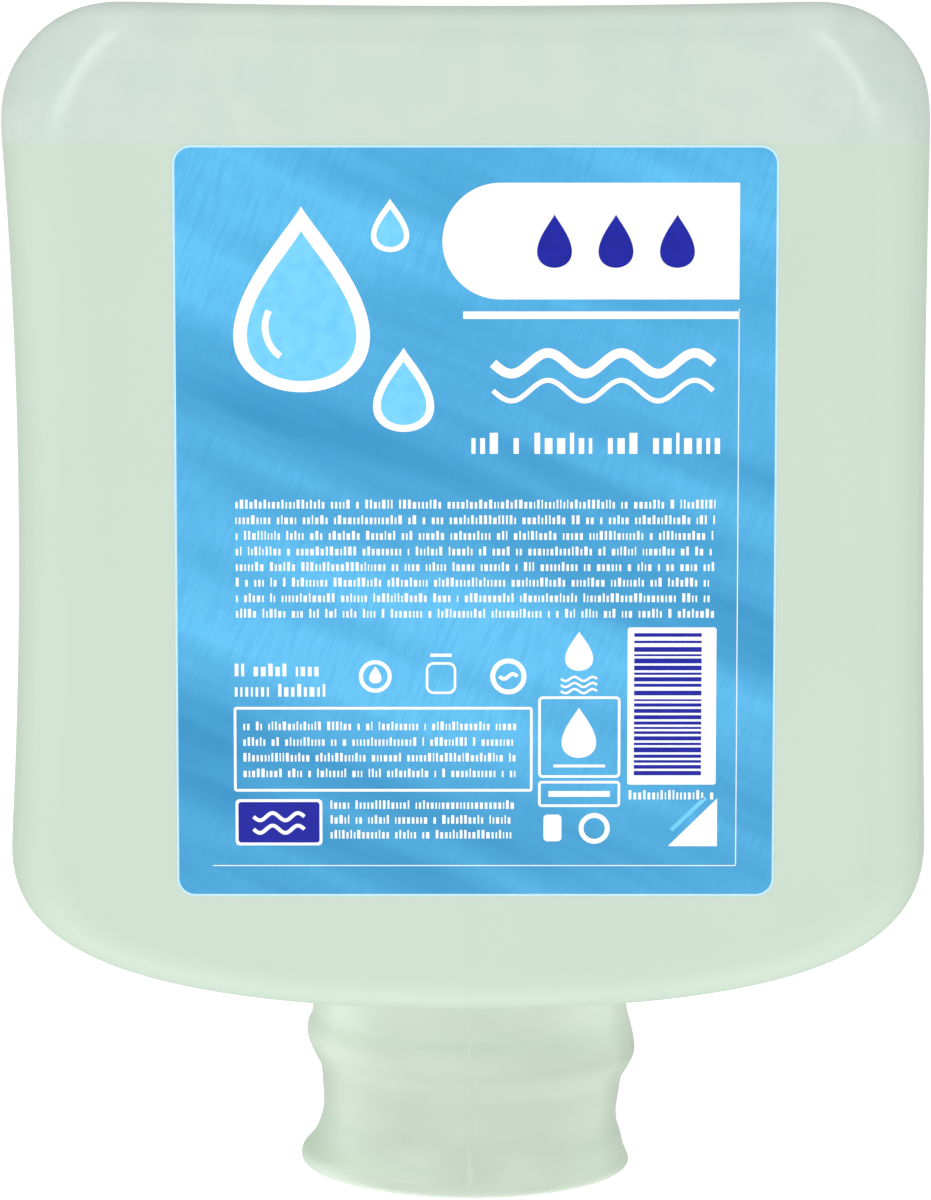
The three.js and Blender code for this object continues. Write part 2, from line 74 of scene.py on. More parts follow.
camera = bpy.data.objects.new("camera", bpy.data.cameras.new("camera"))
camera.data.lens = LENS
camera.data.sensor_width = SENSOR_WIDTH
camera.location = (CAMERA_SIDE * MM, -CAMERA_DISTANCE * MM, CAMERA_HEIGHT * MM)
camera.rotation_euler = (math.pi / 2 - CAMERA_PITCH, 0, 0)
bpy.context.scene.collection.objects.link(camera)
bpy.context.scene.camera = camera
bpy.context.scene.view_settings.view_transform = "Standard"
print("camera", CAMERA_DISTANCE, "mm from the neck's axis, lens", LENS, "mm")

# %% [markdown]
# ## Meshes from numbers
#
# Each skin below is a net of rings: a row of points repeated with small changes, and joined ring to
# ring with four-sided faces. That suits moulded plastic, where one rule gives the whole surface. A
# helper turns such a net into a Blender mesh with smooth shading and keeps real edges sharp.

# %% Make a mesh and a net of rings
SHARP = math.radians(38)


def make_mesh(name, points, faces, material):
    """A mesh object from points in millimetres, with smooth shading and sharp real edges."""
    mesh = bpy.data.meshes.new(name)
    corners = [tuple(p) for p in np.asarray(points, float) * MM]
    mesh.from_pydata(corners, [], [list(map(int, face)) for face in faces])
    mesh.validate()
    mesh.shade_smooth()
    mesh.set_sharp_from_angle(angle=SHARP)
    mesh.materials.append(material)
    thing = bpy.data.objects.new(name, mesh)
    bpy.context.scene.collection.objects.link(thing)
    return thing


def net_faces(rings, count, wrap=False):
    """Four-sided faces between closed rings of `count` points each, facing out for upward rings."""
    faces = []
    for r in range(rings if wrap else rings - 1):
        here, there = r * count, (r + 1) % rings * count
        for i in range(count):
            j = (i + 1) % count
            faces.append((here + i, here + j, there + j, there + i))
    return faces


def pole_faces(rings, count):
    """Triangles that close the first and last ring, each to a pole among the two points after the rings."""
    pole, last = rings * count, (rings - 1) * count
    faces = []
    for i in range(count):
        j = (i + 1) % count
        faces += [(pole, j, i), (pole + 1, last + i, last + j)]
    return faces


def flat_ring(radius, height, angles):
    """Points round the neck's axis at one height; the radius is one number or one for each angle."""
    return np.column_stack([radius * np.cos(angles), radius * np.sin(angles), np.full(len(angles), height)])


def turn_outwards(thing):
    """Flips a closed mesh whose faces point inwards, which a negative volume shows."""
    mesh = thing.data
    mesh.calc_loop_triangles()
    points = np.array([v.co for v in mesh.vertices])
    a, b, c = (points[[t.vertices[k] for t in mesh.loop_triangles]] for k in range(3))
    if np.einsum("ij,ij->i", a, np.cross(b, c)).sum() < 0:
        mesh.flip_normals()
    return thing


def turned(name, profile, material, segments=128):
    """A closed ring or solid of revolution about the neck's axis from (radius, height) pairs."""
    angles = np.linspace(0, 2 * np.pi, segments, endpoint=False)
    rings = [flat_ring(radius, height, angles) for radius, height in profile if radius > 0]
    solid = profile[0][0] == 0 and profile[-1][0] == 0
    faces = net_faces(len(rings), segments, wrap=not solid)
    points = np.vstack(rings)
    if solid:
        points = np.vstack([points, [0, 0, profile[0][1]], [0, 0, profile[-1][1]]])
        faces += pole_faces(len(rings), segments)
    return turn_outwards(make_mesh(name, points, faces, material))


def rounded(profile, radius, steps=3):
    """Rounds the corners of a closed (radius, height) profile; a cut takes under half of a short side."""
    smooth = []
    for k, corner in enumerate(profile):
        corner = np.array(corner, float)
        before = np.array(profile[k - 1], float) - corner
        after = np.array(profile[(k + 1) % len(profile)], float) - corner
        cut = min(radius, 0.45 * np.linalg.norm(before), 0.45 * np.linalg.norm(after))
        a = corner + before / np.linalg.norm(before) * cut
        b = corner + after / np.linalg.norm(after) * cut
        for t in np.linspace(0, 1, steps + 1):
            smooth.append(tuple((1 - t) ** 2 * a + 2 * t * (1 - t) * corner + t**2 * b))
    return smooth


print("helpers ready: make_mesh, turned, rounded")

# %% [markdown]
# ## The finishes
#
# Most of the pack is one family of plastics. Real milky polyethylene scatters light below its skin.
# Here a pale base colour stands in for that, with a soft gloss and a grain so fine that it only
# breaks up reflections. The patterns read Object coordinates in metres, so a finish keeps its scale
# on every piece. A number that is the same all over goes straight onto the shader's socket. The
# bottle and the hood also carry a value that says how far each point is turned aside. From it their
# colour gets painted light just past the front edges and painted shade further aside, where the skin is also
# duller.

# %% A small kit for node materials
GLOSS = 0.5  # the shader's usual specular level
GLOSS_FADES = (0.9, 0.45)  # turned aside this far, the skin is dull, and fully glossy


def add_node(tree, kind, inputs=(), **settings):
    """Adds a node to a tree, sets its options, and links or fills its inputs."""
    made = tree.nodes.new(kind)
    for key, value in settings.items():
        setattr(made, key, value)
    for key, value in dict(inputs).items():
        if isinstance(value, bpy.types.NodeSocket):
            tree.links.new(value, made.inputs[key])
        else:
            made.inputs[key].default_value = value
    return made


def linear(r, g, b):
    """An sRGB colour, 0 to 255, as Blender's linear colour with alpha."""
    channels = [c / 255 for c in (r, g, b)]
    return [c / 12.92 if c <= 0.04045 else ((c + 0.055) / 1.055) ** 2.4 for c in channels] + [1]


class Finish:
    """A Principled material and short ways to add nodes to it."""

    def __init__(self, name, **sockets):
        self.material = bpy.data.materials.new(name)
        self.material.use_nodes = True
        self.tree = self.material.node_tree
        self.shader = self.tree.nodes["Principled BSDF"]
        for socket, value in sockets.items():
            self.shader.inputs[socket.replace("_", " ")].default_value = value
        self.place = self.tree.nodes.new("ShaderNodeTexCoord").outputs["Object"]

    def node(self, kind, inputs=(), **settings):
        return add_node(self.tree, kind, inputs, **settings)

    def noise(self, scale, detail=2, longer=(1, 1, 1), turn=0):
        """Noise with `scale` features a metre, `longer` along axes that are turned about Y in degrees."""
        sockets = {"Vector": self.place, "Scale": longer, "Rotation": (0, math.radians(turn), 0)}
        where = self.node("ShaderNodeMapping", sockets, vector_type="TEXTURE").outputs[0]
        sockets = {"Vector": where, "Scale": scale, "Detail": detail}
        return self.node("ShaderNodeTexNoise", sockets).outputs["Fac"]

    def ramp(self, value, low, high):
        """Maps value to 0 at low and 1 at high, held outside them."""
        sockets = {"Value": value, "From Min": low, "From Max": high}
        return self.node("ShaderNodeMapRange", sockets).outputs["Result"]

    def mix(self, share, a, b):
        """Colour a where share is 0 and b where it is 1."""
        return self.node("ShaderNodeMix", {0: share, 6: a, 7: b}, data_type="RGBA").outputs[2]

    def math(self, operation, a, b=0.0):
        return self.node("ShaderNodeMath", {0: a, 1: b}, operation=operation).outputs[0]

    def across(self):
        return self.node("ShaderNodeSeparateXYZ", {0: self.place}).outputs["X"]

    def height(self):
        return self.node("ShaderNodeSeparateXYZ", {0: self.place}).outputs["Z"]

    def painted_edge_light_and_shade(self, colour, light, painted_shade, turns):
        """Colour with painted light, lighter by the first share, then painted shade, darker by the second,
        as the skin turns aside.
        """
        aside = self.node("ShaderNodeAttribute", attribute_name="turned_aside").outputs["Fac"]
        gloss = self.math("MULTIPLY", self.ramp(aside, *GLOSS_FADES), GLOSS)
        self.tree.links.new(gloss, self.shader.inputs["Specular IOR Level"])
        # painted light where the skin starts to turn aside, painted shade where it turns further
        lift = self.math("MULTIPLY", self.ramp(aside, *turns[:2]), light)
        painted_shade_share = self.math("MULTIPLY", self.ramp(aside, *turns[2:]), painted_shade)
        factor = self.math("ADD", self.math("SUBTRACT", lift, painted_shade_share), 1.0)
        return self.node("ShaderNodeVectorMath", {0: colour, "Scale": factor}, operation="SCALE").outputs[0]

    def colour(self, socket):
        self.tree.links.new(socket, self.shader.inputs["Base Color"])

    def bump(self, value, depth):
        """Raises the skin by `depth` metres where value is 1."""
        made = self.node("ShaderNodeBump", {"Height": value, "Distance": depth, "Strength": 1.0})
        self.tree.links.new(made.outputs[0], self.shader.inputs["Normal"])


def mark_turned_aside(thing, normal_y=None):
    """Stores on each point 0 where it faces front or back, and 1 where it faces any other way."""
    if normal_y is None:
        normal_y = [v.normal.y for v in thing.data.vertices]
    values = np.sqrt(np.clip(1 - np.square(normal_y), 0, 1)).astype(np.float32)
    thing.data.attributes.new("turned_aside", "FLOAT", "POINT").data.foreach_set("value", values)


print("finish kit ready")

# %% [markdown]
# ## Milky bottle plastic
#
# Below the soap's level the wall is backed by liquid and looks a warm grey-green. Above it the wall
# is backed by air, so it looks cooler and a little uneven, as the wall's thickness shows through.
# The level is a straight line at a known height, so the two tones meet at that height in the
# material. It shows best near the sides and fades towards the middle, as in the photograph.

# %% Mix the bottle's finish
SOAP_LEVEL = 135.8
LEVEL_BLUR = 0.4  # the tones meet over this much above and below the level
LEVEL_FADES = (12, 44)  # from the middle, where the level starts to show more, and shows fully
LEVEL_IN_MIDDLE = 0.4  # how much of the change of tone is left in the middle
SOAP_BACKED = linear(197, 213, 197)
SOAP_CLOUD = linear(194, 211, 195)
AIR_BACKED = linear(201, 213, 205)
AIR_CLOUD = linear(195, 209, 203)
# shares of painted light just past the rounded front edges, and of painted shade further aside
PAINTED_EDGE_LIGHT = 0.075
PAINTED_EDGE_SHADE = 0.1
PAINTED_EDGE_TURNS = (0.25, 0.6, 0.7, 0.98)  # turned aside: painted light from, painted light to, painted shade from, painted shade to
GRAIN = 520  # features of the moulded grain in a metre
GRAIN_DEPTH = 0.022


def milky_bottle():
    finish = Finish("milky_bottle", Roughness=0.3)
    above = finish.ramp(finish.height(), (SOAP_LEVEL - LEVEL_BLUR) * MM, (SOAP_LEVEL + LEVEL_BLUR) * MM)
    from_middle = finish.math("ABSOLUTE", finish.across())
    aside = finish.ramp(from_middle, LEVEL_FADES[0] * MM, LEVEL_FADES[1] * MM)
    more = finish.math("MULTIPLY", aside, 1 - LEVEL_IN_MIDDLE)
    seen = finish.math("MULTIPLY", above, finish.math("ADD", LEVEL_IN_MIDDLE, more))
    air = finish.mix(finish.ramp(finish.noise(150, 3), 0.4, 0.64), AIR_BACKED, AIR_CLOUD)
    soap = finish.mix(finish.ramp(finish.noise(28, 2), 0.3, 0.7), SOAP_BACKED, SOAP_CLOUD)
    # painted light past the front edges and painted shade further aside, over the soap and air tones
    finish.colour(finish.painted_edge_light_and_shade(finish.mix(seen, soap, air), PAINTED_EDGE_LIGHT, PAINTED_EDGE_SHADE, PAINTED_EDGE_TURNS))
    finish.bump(finish.noise(GRAIN, 2), GRAIN_DEPTH * MM)
    return finish.material


bottle_finish = milky_bottle()
print("soap level at", SOAP_LEVEL, "mm")

# %% [markdown]
# ## The bottle's front outline
#
# A blow mould is cut as two cavities, and this one is a square-shouldered box: nearly straight walls
# that bow inwards a little, round upper corners, a top that sags between them, and a shoulder that
# falls in one sweep to the neck. Bezier curves and arcs draw the outline once, and a light
# smoothing takes out the small corners where they meet.

# %% Draw the outline
TOP = 152.8
SHOULDER = 29.1
RIDGE = (0.45, 0.025)  # width and height of the parting line
DEPTH = 92 - 2 * RIDGE[1]  # so that the parting line ends where the CAD bottle does
LEFT = {"low": 57.1, "middle": 55.75, "top": 57.5, "corner": 14, "rise": 19}
RIGHT = {"low": 56.6, "middle": 56, "top": 56.3, "corner": 13, "rise": 19.5}
SHOULDER_FLAT = 31
SHOULDER_ELBOW = 0.23
TOP_DIP = 0.6
SMOOTHING = 1.6  # how far along the outline its small corners are smoothed


def bezier(p0, p1, p2, p3, count=80):
    t = np.linspace(0, 1, count, endpoint=False)[:, None]
    p0, p1, p2, p3 = (np.array(p, float) for p in (p0, p1, p2, p3))
    return (1 - t) ** 3 * p0 + 3 * (1 - t) ** 2 * t * p1 + 3 * (1 - t) * t**2 * p2 + t**3 * p3


def arc(centre, radius, start, end, count=60):
    t = np.linspace(start, end, count, endpoint=False)
    return np.column_stack([centre[0] + radius * np.cos(t), centre[1] + radius * np.sin(t)])


def half_outline(side):
    """Shoulder, wall and upper corner of one side, from the neck up, with x counted outwards."""
    foot = SHOULDER + side["rise"]
    head = TOP - side["corner"]
    elbow = SHOULDER + SHOULDER_ELBOW * side["rise"]
    bow = (8 * side["middle"] - side["low"] - side["top"]) / 6
    third = (head - foot) / 3
    return np.vstack([
        bezier((0, SHOULDER), (SHOULDER_FLAT, SHOULDER), (side["low"], elbow), (side["low"], foot)),
        bezier((side["low"], foot), (bow, foot + third), (bow, head - third), (side["top"], head)),
        arc((side["top"] - side["corner"], head), side["corner"], 0, math.pi / 2),
    ])


def outline(count):
    """`count` evenly spaced points round the front outline and their outward normals."""
    right, left = half_outline(RIGHT), half_outline(LEFT) * (-1, 1)
    sag = TOP - TOP_DIP * 4 / 3
    top = bezier((RIGHT["top"] - RIGHT["corner"], TOP), (RIGHT["top"] / 3, sag),
                 (-LEFT["top"] / 3, sag), (LEFT["corner"] - LEFT["top"], TOP))
    raw = np.vstack([right, top, left[1:][::-1]])
    closed = np.vstack([raw, raw[:1]])
    run = np.concatenate([[0], np.cumsum(np.linalg.norm(np.diff(closed, axis=0), axis=1))])
    even = np.linspace(0, run[-1], count, endpoint=False)
    points = np.column_stack([np.interp(even, run, closed[:, k]) for k in (0, 1)])
    reach = SMOOTHING * count / run[-1]
    offsets = np.arange(-int(3 * reach) - 1, int(3 * reach) + 2)
    weights = np.exp(-0.5 * (offsets / reach) ** 2)
    points = sum(w * np.roll(points, k, axis=0) for w, k in zip(weights / weights.sum(), offsets))
    along = np.roll(points, -1, axis=0) - np.roll(points, 1, axis=0)
    along /= np.linalg.norm(along, axis=1)[:, None]
    return points, np.column_stack([along[:, 1], -along[:, 0]])


front, _ = outline(400)
print("front outline", np.round(front.min(0), 1), np.round(front.max(0), 1), "mm")

# %% [markdown]
# ## The bottle's skins
#
# The outline is carried through the depth and rounded into the front and back faces. Each upper
# corner is bevelled by a plane, which shows in the photograph as a bright straight streak where the
# plane meets the front. A hard cut would look machined, so each point outside the plane is eased
# onto it, and the crease comes out softly rounded. The same easing sinks the round dish in the top.
# The inner skin is the same shape moved in by the wall's thickness.

# %% Build one skin of the bottle
SIDE_EDGE = 10
END_EDGE = 5
WALL = 1.0
FACET = np.array([16.6, 12.0, 21.7])  # intercepts across, back and down of a corner's plane
CREASE = 1.1  # softness of the eased creases
CREASE_REACH = 8 * CREASE  # farther inside than this, easing moves nothing
DISH_RADIUS = 34
DISH_DEPTH = 2.6
DISH_REACH = 3  # past its radius, the dish still eases the top this far
TOP_BAND = 20  # only points this near the top belong to it
FACE_RINGS = (0.03, 0.76, 1)  # rings on a face, as shares of its rim: first, where they get denser, last


def ease(distance):
    """A distance that is left alone well below 0 and held at 0 above it."""
    return -CREASE * np.logaddexp(0, -distance / CREASE)


def bevel_corners(points, inset):
    """Eases the points outside the plane across each upper corner onto that plane."""
    for x in (-1, 1):
        width = RIGHT["top"] if x > 0 else LEFT["top"]
        for y in (-1, 1):
            slope = np.array([x, y, 1]) / FACET
            steep = np.linalg.norm(slope)
            corner = np.array([x * width, y * DEPTH / 2, TOP])
            outside = (points - corner) @ slope / steep + 1 / steep + inset
            moved = ease(outside) - outside
            moved[outside < -CREASE_REACH] = 0
            points += moved[:, None] * slope / steep
    return points


def sink_dish(points, inset):
    """Eases the middle of the top down onto a shallow bowl."""
    from_axis = np.hypot(points[:, 0], points[:, 1])
    floor = TOP - TOP_DIP - inset - DISH_DEPTH * (1 - (from_axis / DISH_RADIUS) ** 2)
    high = (points[:, 2] > TOP - TOP_BAND) & (from_axis < DISH_RADIUS + DISH_REACH)
    points[high, 2] = floor[high] + ease(points[high, 2] - floor[high])
    return points


def body_skin(inset, count, edge_steps, depth_steps, face_steps):
    """Points and faces of the body's skin moved in by `inset`, from the front's middle to the back's."""
    line, normal = outline(count)
    half = DEPTH / 2 - inset
    share = normal[:, 0] ** 2
    edge = np.maximum(SIDE_EDGE * share + END_EDGE * (1 - share) - inset, 1)
    middle = np.array([0, (TOP + SHOULDER) / 2])

    def ring(turn, side):
        place = line - normal * (inset + edge * (1 - math.cos(turn)))[:, None]
        return np.column_stack([place[:, 0], side * (half - edge * (1 - math.sin(turn))), place[:, 1]])

    def face(share_out, side):
        rim = ring(math.pi / 2, side)
        rim[:, [0, 2]] = middle + share_out * (rim[:, [0, 2]] - middle)
        return rim

    first, denser, rim_share = FACE_RINGS
    outwards = np.concatenate([np.linspace(first, denser, face_steps, endpoint=False),
                               np.linspace(denser, rim_share, 2 * face_steps, endpoint=False)])
    quarter = np.linspace(0, math.pi / 2, edge_steps + 1)
    rings = [face(s, -1) for s in outwards] + [ring(t, -1) for t in quarter[::-1]]
    for t in np.linspace(0, 1, depth_steps + 1)[1:-1]:
        rings.append((1 - t) * ring(0, -1) + t * ring(0, 1))
    rings += [ring(t, 1) for t in quarter] + [face(s, 1) for s in outwards[::-1]]
    points = np.vstack(rings + [[[0, -half, middle[1]], [0, half, middle[1]]]])
    points = sink_dish(bevel_corners(points, inset), inset)
    return points, net_faces(len(rings), count) + pole_faces(len(rings), count)


skin_points, skin_faces = body_skin(0, 480, 10, 30, 12)
print("outer skin:", len(skin_points), "points,", len(skin_faces), "faces")

# %% [markdown]
# ## Body, neck and hollow joined
#
# A boolean joins the neck to the body and takes out the hollow, which leaves one closed shell like
# the moulding. The manifold solver is quick and keeps the shell closed. The modifiers are turned
# into a plain mesh at once, so that later steps see only the result.

# %% Join the shell
NECK_MOUTH = 16.6
NECK = 16  # radii of the neck, its bead, its root under the shoulder, and its bore
NECK_BEAD = 16.9
NECK_ROOT = 20
BORE = 14.2
NECK_PROFILE = [(0, NECK_MOUTH), (NECK, NECK_MOUTH), (NECK, 20.6), (NECK_BEAD, 21.1), (NECK_BEAD, 22.1),
                (NECK, 22.6), (NECK, 26.1), (16.9, 27.6), (18.2, 28.7), (NECK_ROOT, 29.4), (NECK_ROOT, 31),
                (0, 31)]
BORE_PROFILE = [(0, 12), (BORE, 12), (BORE, 27.4), (15.5, 29.4), (18.2, 31.2), (0, 31.2)]


def combined(name, base, *steps):
    """Applies boolean steps of (operation, object) to base and returns a plain object."""
    for operation, other in steps:
        modifier = base.modifiers.new(operation, "BOOLEAN")
        modifier.operation, modifier.object, modifier.solver = operation, other, "MANIFOLD"
    bpy.context.view_layer.update()
    mesh = bpy.data.meshes.new_from_object(base.evaluated_get(bpy.context.evaluated_depsgraph_get()))
    mesh.name = name
    for used in [base] + [other for _, other in steps]:
        bpy.data.objects.remove(used)
    thing = bpy.data.objects.new(name, mesh)
    bpy.context.scene.collection.objects.link(thing)
    return thing


body = turn_outwards(make_mesh("body", skin_points, skin_faces, bottle_finish))
hollow = turn_outwards(make_mesh("hollow", *body_skin(WALL, 200, 5, 8, 8), bottle_finish))
neck = turned("neck", NECK_PROFILE, bottle_finish)
bore = turned("bore", BORE_PROFILE, bottle_finish)
bottle = combined("bottle_shell", body, ("UNION", neck), ("DIFFERENCE", hollow), ("DIFFERENCE", bore))
bottle.data.shade_smooth()
bottle.data.set_sharp_from_angle(angle=SHARP)
mark_turned_aside(bottle)
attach(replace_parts(bottle, "bottle"), "bottle")
print("bottle shell:", len(bottle.data.polygons), "faces")

# %% [markdown]
# ## Parting lines
#
# Where the two halves of a blow mould meet, a thin ridge is left on the plastic. Here the halves
# part to the left and right, so the ridge runs over the top and down the middle of the front and
# back, under the label. It is a swept strip rather than a bump, so it catches the light in every
# view. The strip sinks into the wall at both ends, and from the way the wall faces it takes the
# same painted light and shade as the wall.

# %% Sweep a ridge along a path
RIDGE_SINK = 0.6  # a ridge is sunk into the wall by this share of its height
RIDGE_SECTION = [(-0.5, -RIDGE_SINK), (-0.28, 0.55), (0, 1), (0.28, 0.55), (0.5, -RIDGE_SINK)]
RIDGE_TAPER = 4  # points over which each end sinks into the wall
RIDGE_START = NECK_ROOT + 0.5


def ridge(name, path, outward, width, height, material):
    """A low ridge along a path in the plane x = 0, `height` proud along `outward`."""
    count, sides = len(path), len(RIDGE_SECTION)
    run = np.minimum(np.arange(count), np.arange(count)[::-1])
    taper = np.clip(run / RIDGE_TAPER, 0, 1)[:, None]
    rails = []
    for across, up in RIDGE_SECTION:
        proud = height * (up * taper - RIDGE_SINK * (1 - taper))
        rails.append(path + np.array([across * width, 0, 0]) + outward * proud)
    points = np.stack(rails, axis=1).reshape(-1, 3)
    first_end = tuple(range(sides))
    last_end = tuple((count - 1) * sides + k for k in range(sides))[::-1]
    faces = net_faces(count, sides) + [first_end, last_end]
    strip = turn_outwards(make_mesh(name, points, faces, material))
    mark_turned_aside(strip, np.repeat(outward[:, 1], sides))
    return strip


def depth_section():
    """The bottle's outline in the plane of the neck's axis, from the shoulder round the back."""
    half, r = DEPTH / 2, END_EDGE
    top = TOP - TOP_DIP
    points = [(y, SHOULDER) for y in np.linspace(RIDGE_START, half - r, 20)]
    points += [tuple(p) for p in arc((half - r, SHOULDER + r), r, -math.pi / 2, 0, 12)]
    points += [(half, z) for z in np.linspace(SHOULDER + r, top - r, 60, endpoint=False)]
    points += [tuple(p) for p in arc((half - r, top - r), r, 0, math.pi / 2, 12)]
    points += [(y, top) for y in np.linspace(half - r, 0, 40)]
    return np.array(points)


def path_and_normals(section, side):
    """The ridge's path down the front (side -1) or the back (1), and the way the wall faces there."""
    path = np.column_stack([np.zeros(len(section)), side * section[:, 0], section[:, 1]])
    path = sink_dish(path, 0)
    along = np.gradient(path, axis=0)
    outward = np.cross(along, [side, 0, 0])
    return path, -outward / np.linalg.norm(outward, axis=1)[:, None]


section = depth_section()
ridges = [ridge("parting_line_" + word, *path_and_normals(section, side), *RIDGE, bottle_finish)
          for side, word in ((-1, "front"), (1, "back"))]
for strip in ridges:
    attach(strip, "bottle")
print("parting lines:", len(ridges), "strips")

# %% [markdown]
# ## The hood
#
# The hood is a thin-walled spool: a broad foot, a waist, a snap bead and a plain lip. In the
# photograph it stands slightly askew, and its two flanks differ, so one profile would be wrong on
# one side. Two profiles are written here, radius against height, and every section between them is
# blended round the axis. A smooth curve runs through the points of each. A fine seam is raised down
# the front and the back, where the halves of its mould met.

# %% The hood's two flanks
HOOD_HEIGHT = 28.3
HOOD_LIP = 20.9
LEFT_FLANK = [(0, 20.7), (0.25, 21.6), (0.7, 22.3), (1.3, 22.5), (2.2, 22.3), (3.0, 21.6), (3.9, 20.85),
              (5.5, 20.1), (7.1, 19.65), (8.8, 19.5), (10.4, 19.6), (12, 19.7), (13.6, 19.9), (15.3, 20.75),
              (16.9, 21.45), (18.2, 21.7), (19.4, 21.5), (20.4, 21.05), (21.4, HOOD_LIP),
              (HOOD_HEIGHT, HOOD_LIP)]
RIGHT_FLANK = [(0, 20.9), (0.25, 21.2), (0.7, 21.2), (1.3, 20.95), (2.2, 20.6), (3.0, 20.4), (3.9, 20.2),
               (5.5, 19.7), (7.1, 19.55), (8.8, 19.75), (10.4, 20), (12, 20.3), (13.6, 21.25), (15.3, 22.0),
               (16.9, 21.9), (18.2, 21.65), (19.4, 21.35), (20.4, 21.05), (21.4, HOOD_LIP),
               (HOOD_HEIGHT, HOOD_LIP)]
HOOD_FLOOR = 1.4
FOOT_HOLLOW = 0.35  # the underside is raised this much inside its rim
FOOT_RIM = [(10, FOOT_HOLLOW), (19.4, FOOT_HOLLOW), (19.8, 0.3), (20.1, 0.05)]
LIP_ROUND = [(20.85, HOOD_HEIGHT - 0.15), (20.6, HOOD_HEIGHT), (20.15, HOOD_HEIGHT),
             (19.95, HOOD_HEIGHT - 0.2)]
HOOD_INSIDE = [(19.9, HOOD_HEIGHT - 0.5), (19.9, 15), (19.8, 14.75), (18.95, 14.55), (18.6, 14.3),
               (18.45, 13.8), (18.4, 7), (18.45, 3.4), (18.1, 2.2), (17.2, 1.6), (15.8, HOOD_FLOOR),
               (8, HOOD_FLOOR)]
SEAM_WIDTH = 0.5
SEAM_HEIGHT = 0.1
SEAM_RADIUS = 20  # the wall's radius, near enough, where the seam runs
SEAM_CLEAR = 0.02  # even points this close to a seam, as a share of the radius, make way for its own


def through(points, heights):
    """Radii at the heights, on a smooth curve through (height, radius) points."""
    z, r = np.array(points, float).T
    slope = np.gradient(r, z)
    k = np.clip(np.searchsorted(z, heights, side="right") - 1, 0, len(z) - 2)
    span = z[k + 1] - z[k]
    t = (heights - z[k]) / span
    return ((2 * t**3 - 3 * t**2 + 1) * r[k] + (t**3 - 2 * t**2 + t) * span * slope[k]
            + (3 * t**2 - 2 * t**3) * r[k + 1] + (t**3 - t**2) * span * slope[k + 1])


def hood_net(segments=160):
    """Rings up the outside, over the lip and down the inside, closed by a pole below and one within."""
    seam = np.array([-1, -0.5, 0, 0.5, 1]) * SEAM_WIDTH / 2 / SEAM_RADIUS
    even = np.linspace(0, 2 * np.pi, segments, endpoint=False)
    even = even[np.abs(np.cos(even)) > SEAM_CLEAR]
    angles = np.sort(np.concatenate([even, np.pi / 2 + seam, 3 * np.pi / 2 + seam]))
    from_seam = np.abs(np.cos(angles)) * SEAM_RADIUS
    raised = SEAM_HEIGHT * np.clip(1 - from_seam / (SEAM_WIDTH / 2), 0, 1)
    to_right = (1 + np.cos(angles)) / 2
    heights = np.concatenate([np.linspace(0, 3, 16), np.linspace(3.4, HOOD_HEIGHT - 0.4, 56)])
    rings = [flat_ring(radius, z, angles) for radius, z in FOOT_RIM]
    for z, left, right in zip(heights, through(LEFT_FLANK, heights), through(RIGHT_FLANK, heights)):
        rings.append(flat_ring(left + (right - left) * to_right + raised, z, angles))
    rings += [flat_ring(radius, z, angles) for radius, z in LIP_ROUND + HOOD_INSIDE]
    points = np.vstack(rings + [[[0, 0, FOOT_HOLLOW], [0, 0, HOOD_FLOOR]]])
    return points, net_faces(len(rings), len(angles)) + pole_faces(len(rings), len(angles))


hood_points, hood_faces = hood_net()
print("hood net:", len(hood_points), "points,", len(hood_faces), "faces")

# %% [markdown]
# ## Hood plastic
#
# The hood is the same kind of plastic as the bottle, in a grey-green tone. Its upper part and lip are
# painted lighter, as painted light that lifts the shoulder's shadow there. Towards the sides it has
# painted light, more on the foot than on the bead and more on the left flank than on the right, and
# painted shade at the far sides. Faint clouds and a soft grain go over that change of tone.

# %% Mix the hood's finish and place the hood
HOOD_GREY = linear(197, 209, 195)
HOOD_CLOUD = linear(191, 204, 191)
# the upper hood's tone: painted light against the shoulder's shadow
HOOD_PAINTED_LIGHT_TONE = linear(222, 233, 220)
LIP_PAINTED_LIGHT_SPAN = (15.5, 19.8)  # heights between which the grey gives way to that painted light
# heights, then places across, in millimetres, over which painted light grows on the foot and on the left
# flank
FOOT_PAINTED_LIGHT_SPAN = (14, 2)
LEFT_PAINTED_LIGHT_SPAN = (0, -16)
HOOD_PAINTED_SIDE_LIGHT = 0.09  # painted light on both sides, and the painted light that the foot and the left flank add to it
HOOD_PAINTED_FOOT_LIGHT = 0.12
HOOD_PAINTED_LEFT_LIGHT = 0.08
# painted shade where the hood turns furthest aside
HOOD_PAINTED_SIDE_SHADE = 0.16
# turned aside: painted light from and to, then painted shade from and to
HOOD_PAINTED_TURNS = (0.45, 0.8, 0.86, 0.99)
HOOD_CLOUDS = 0.25


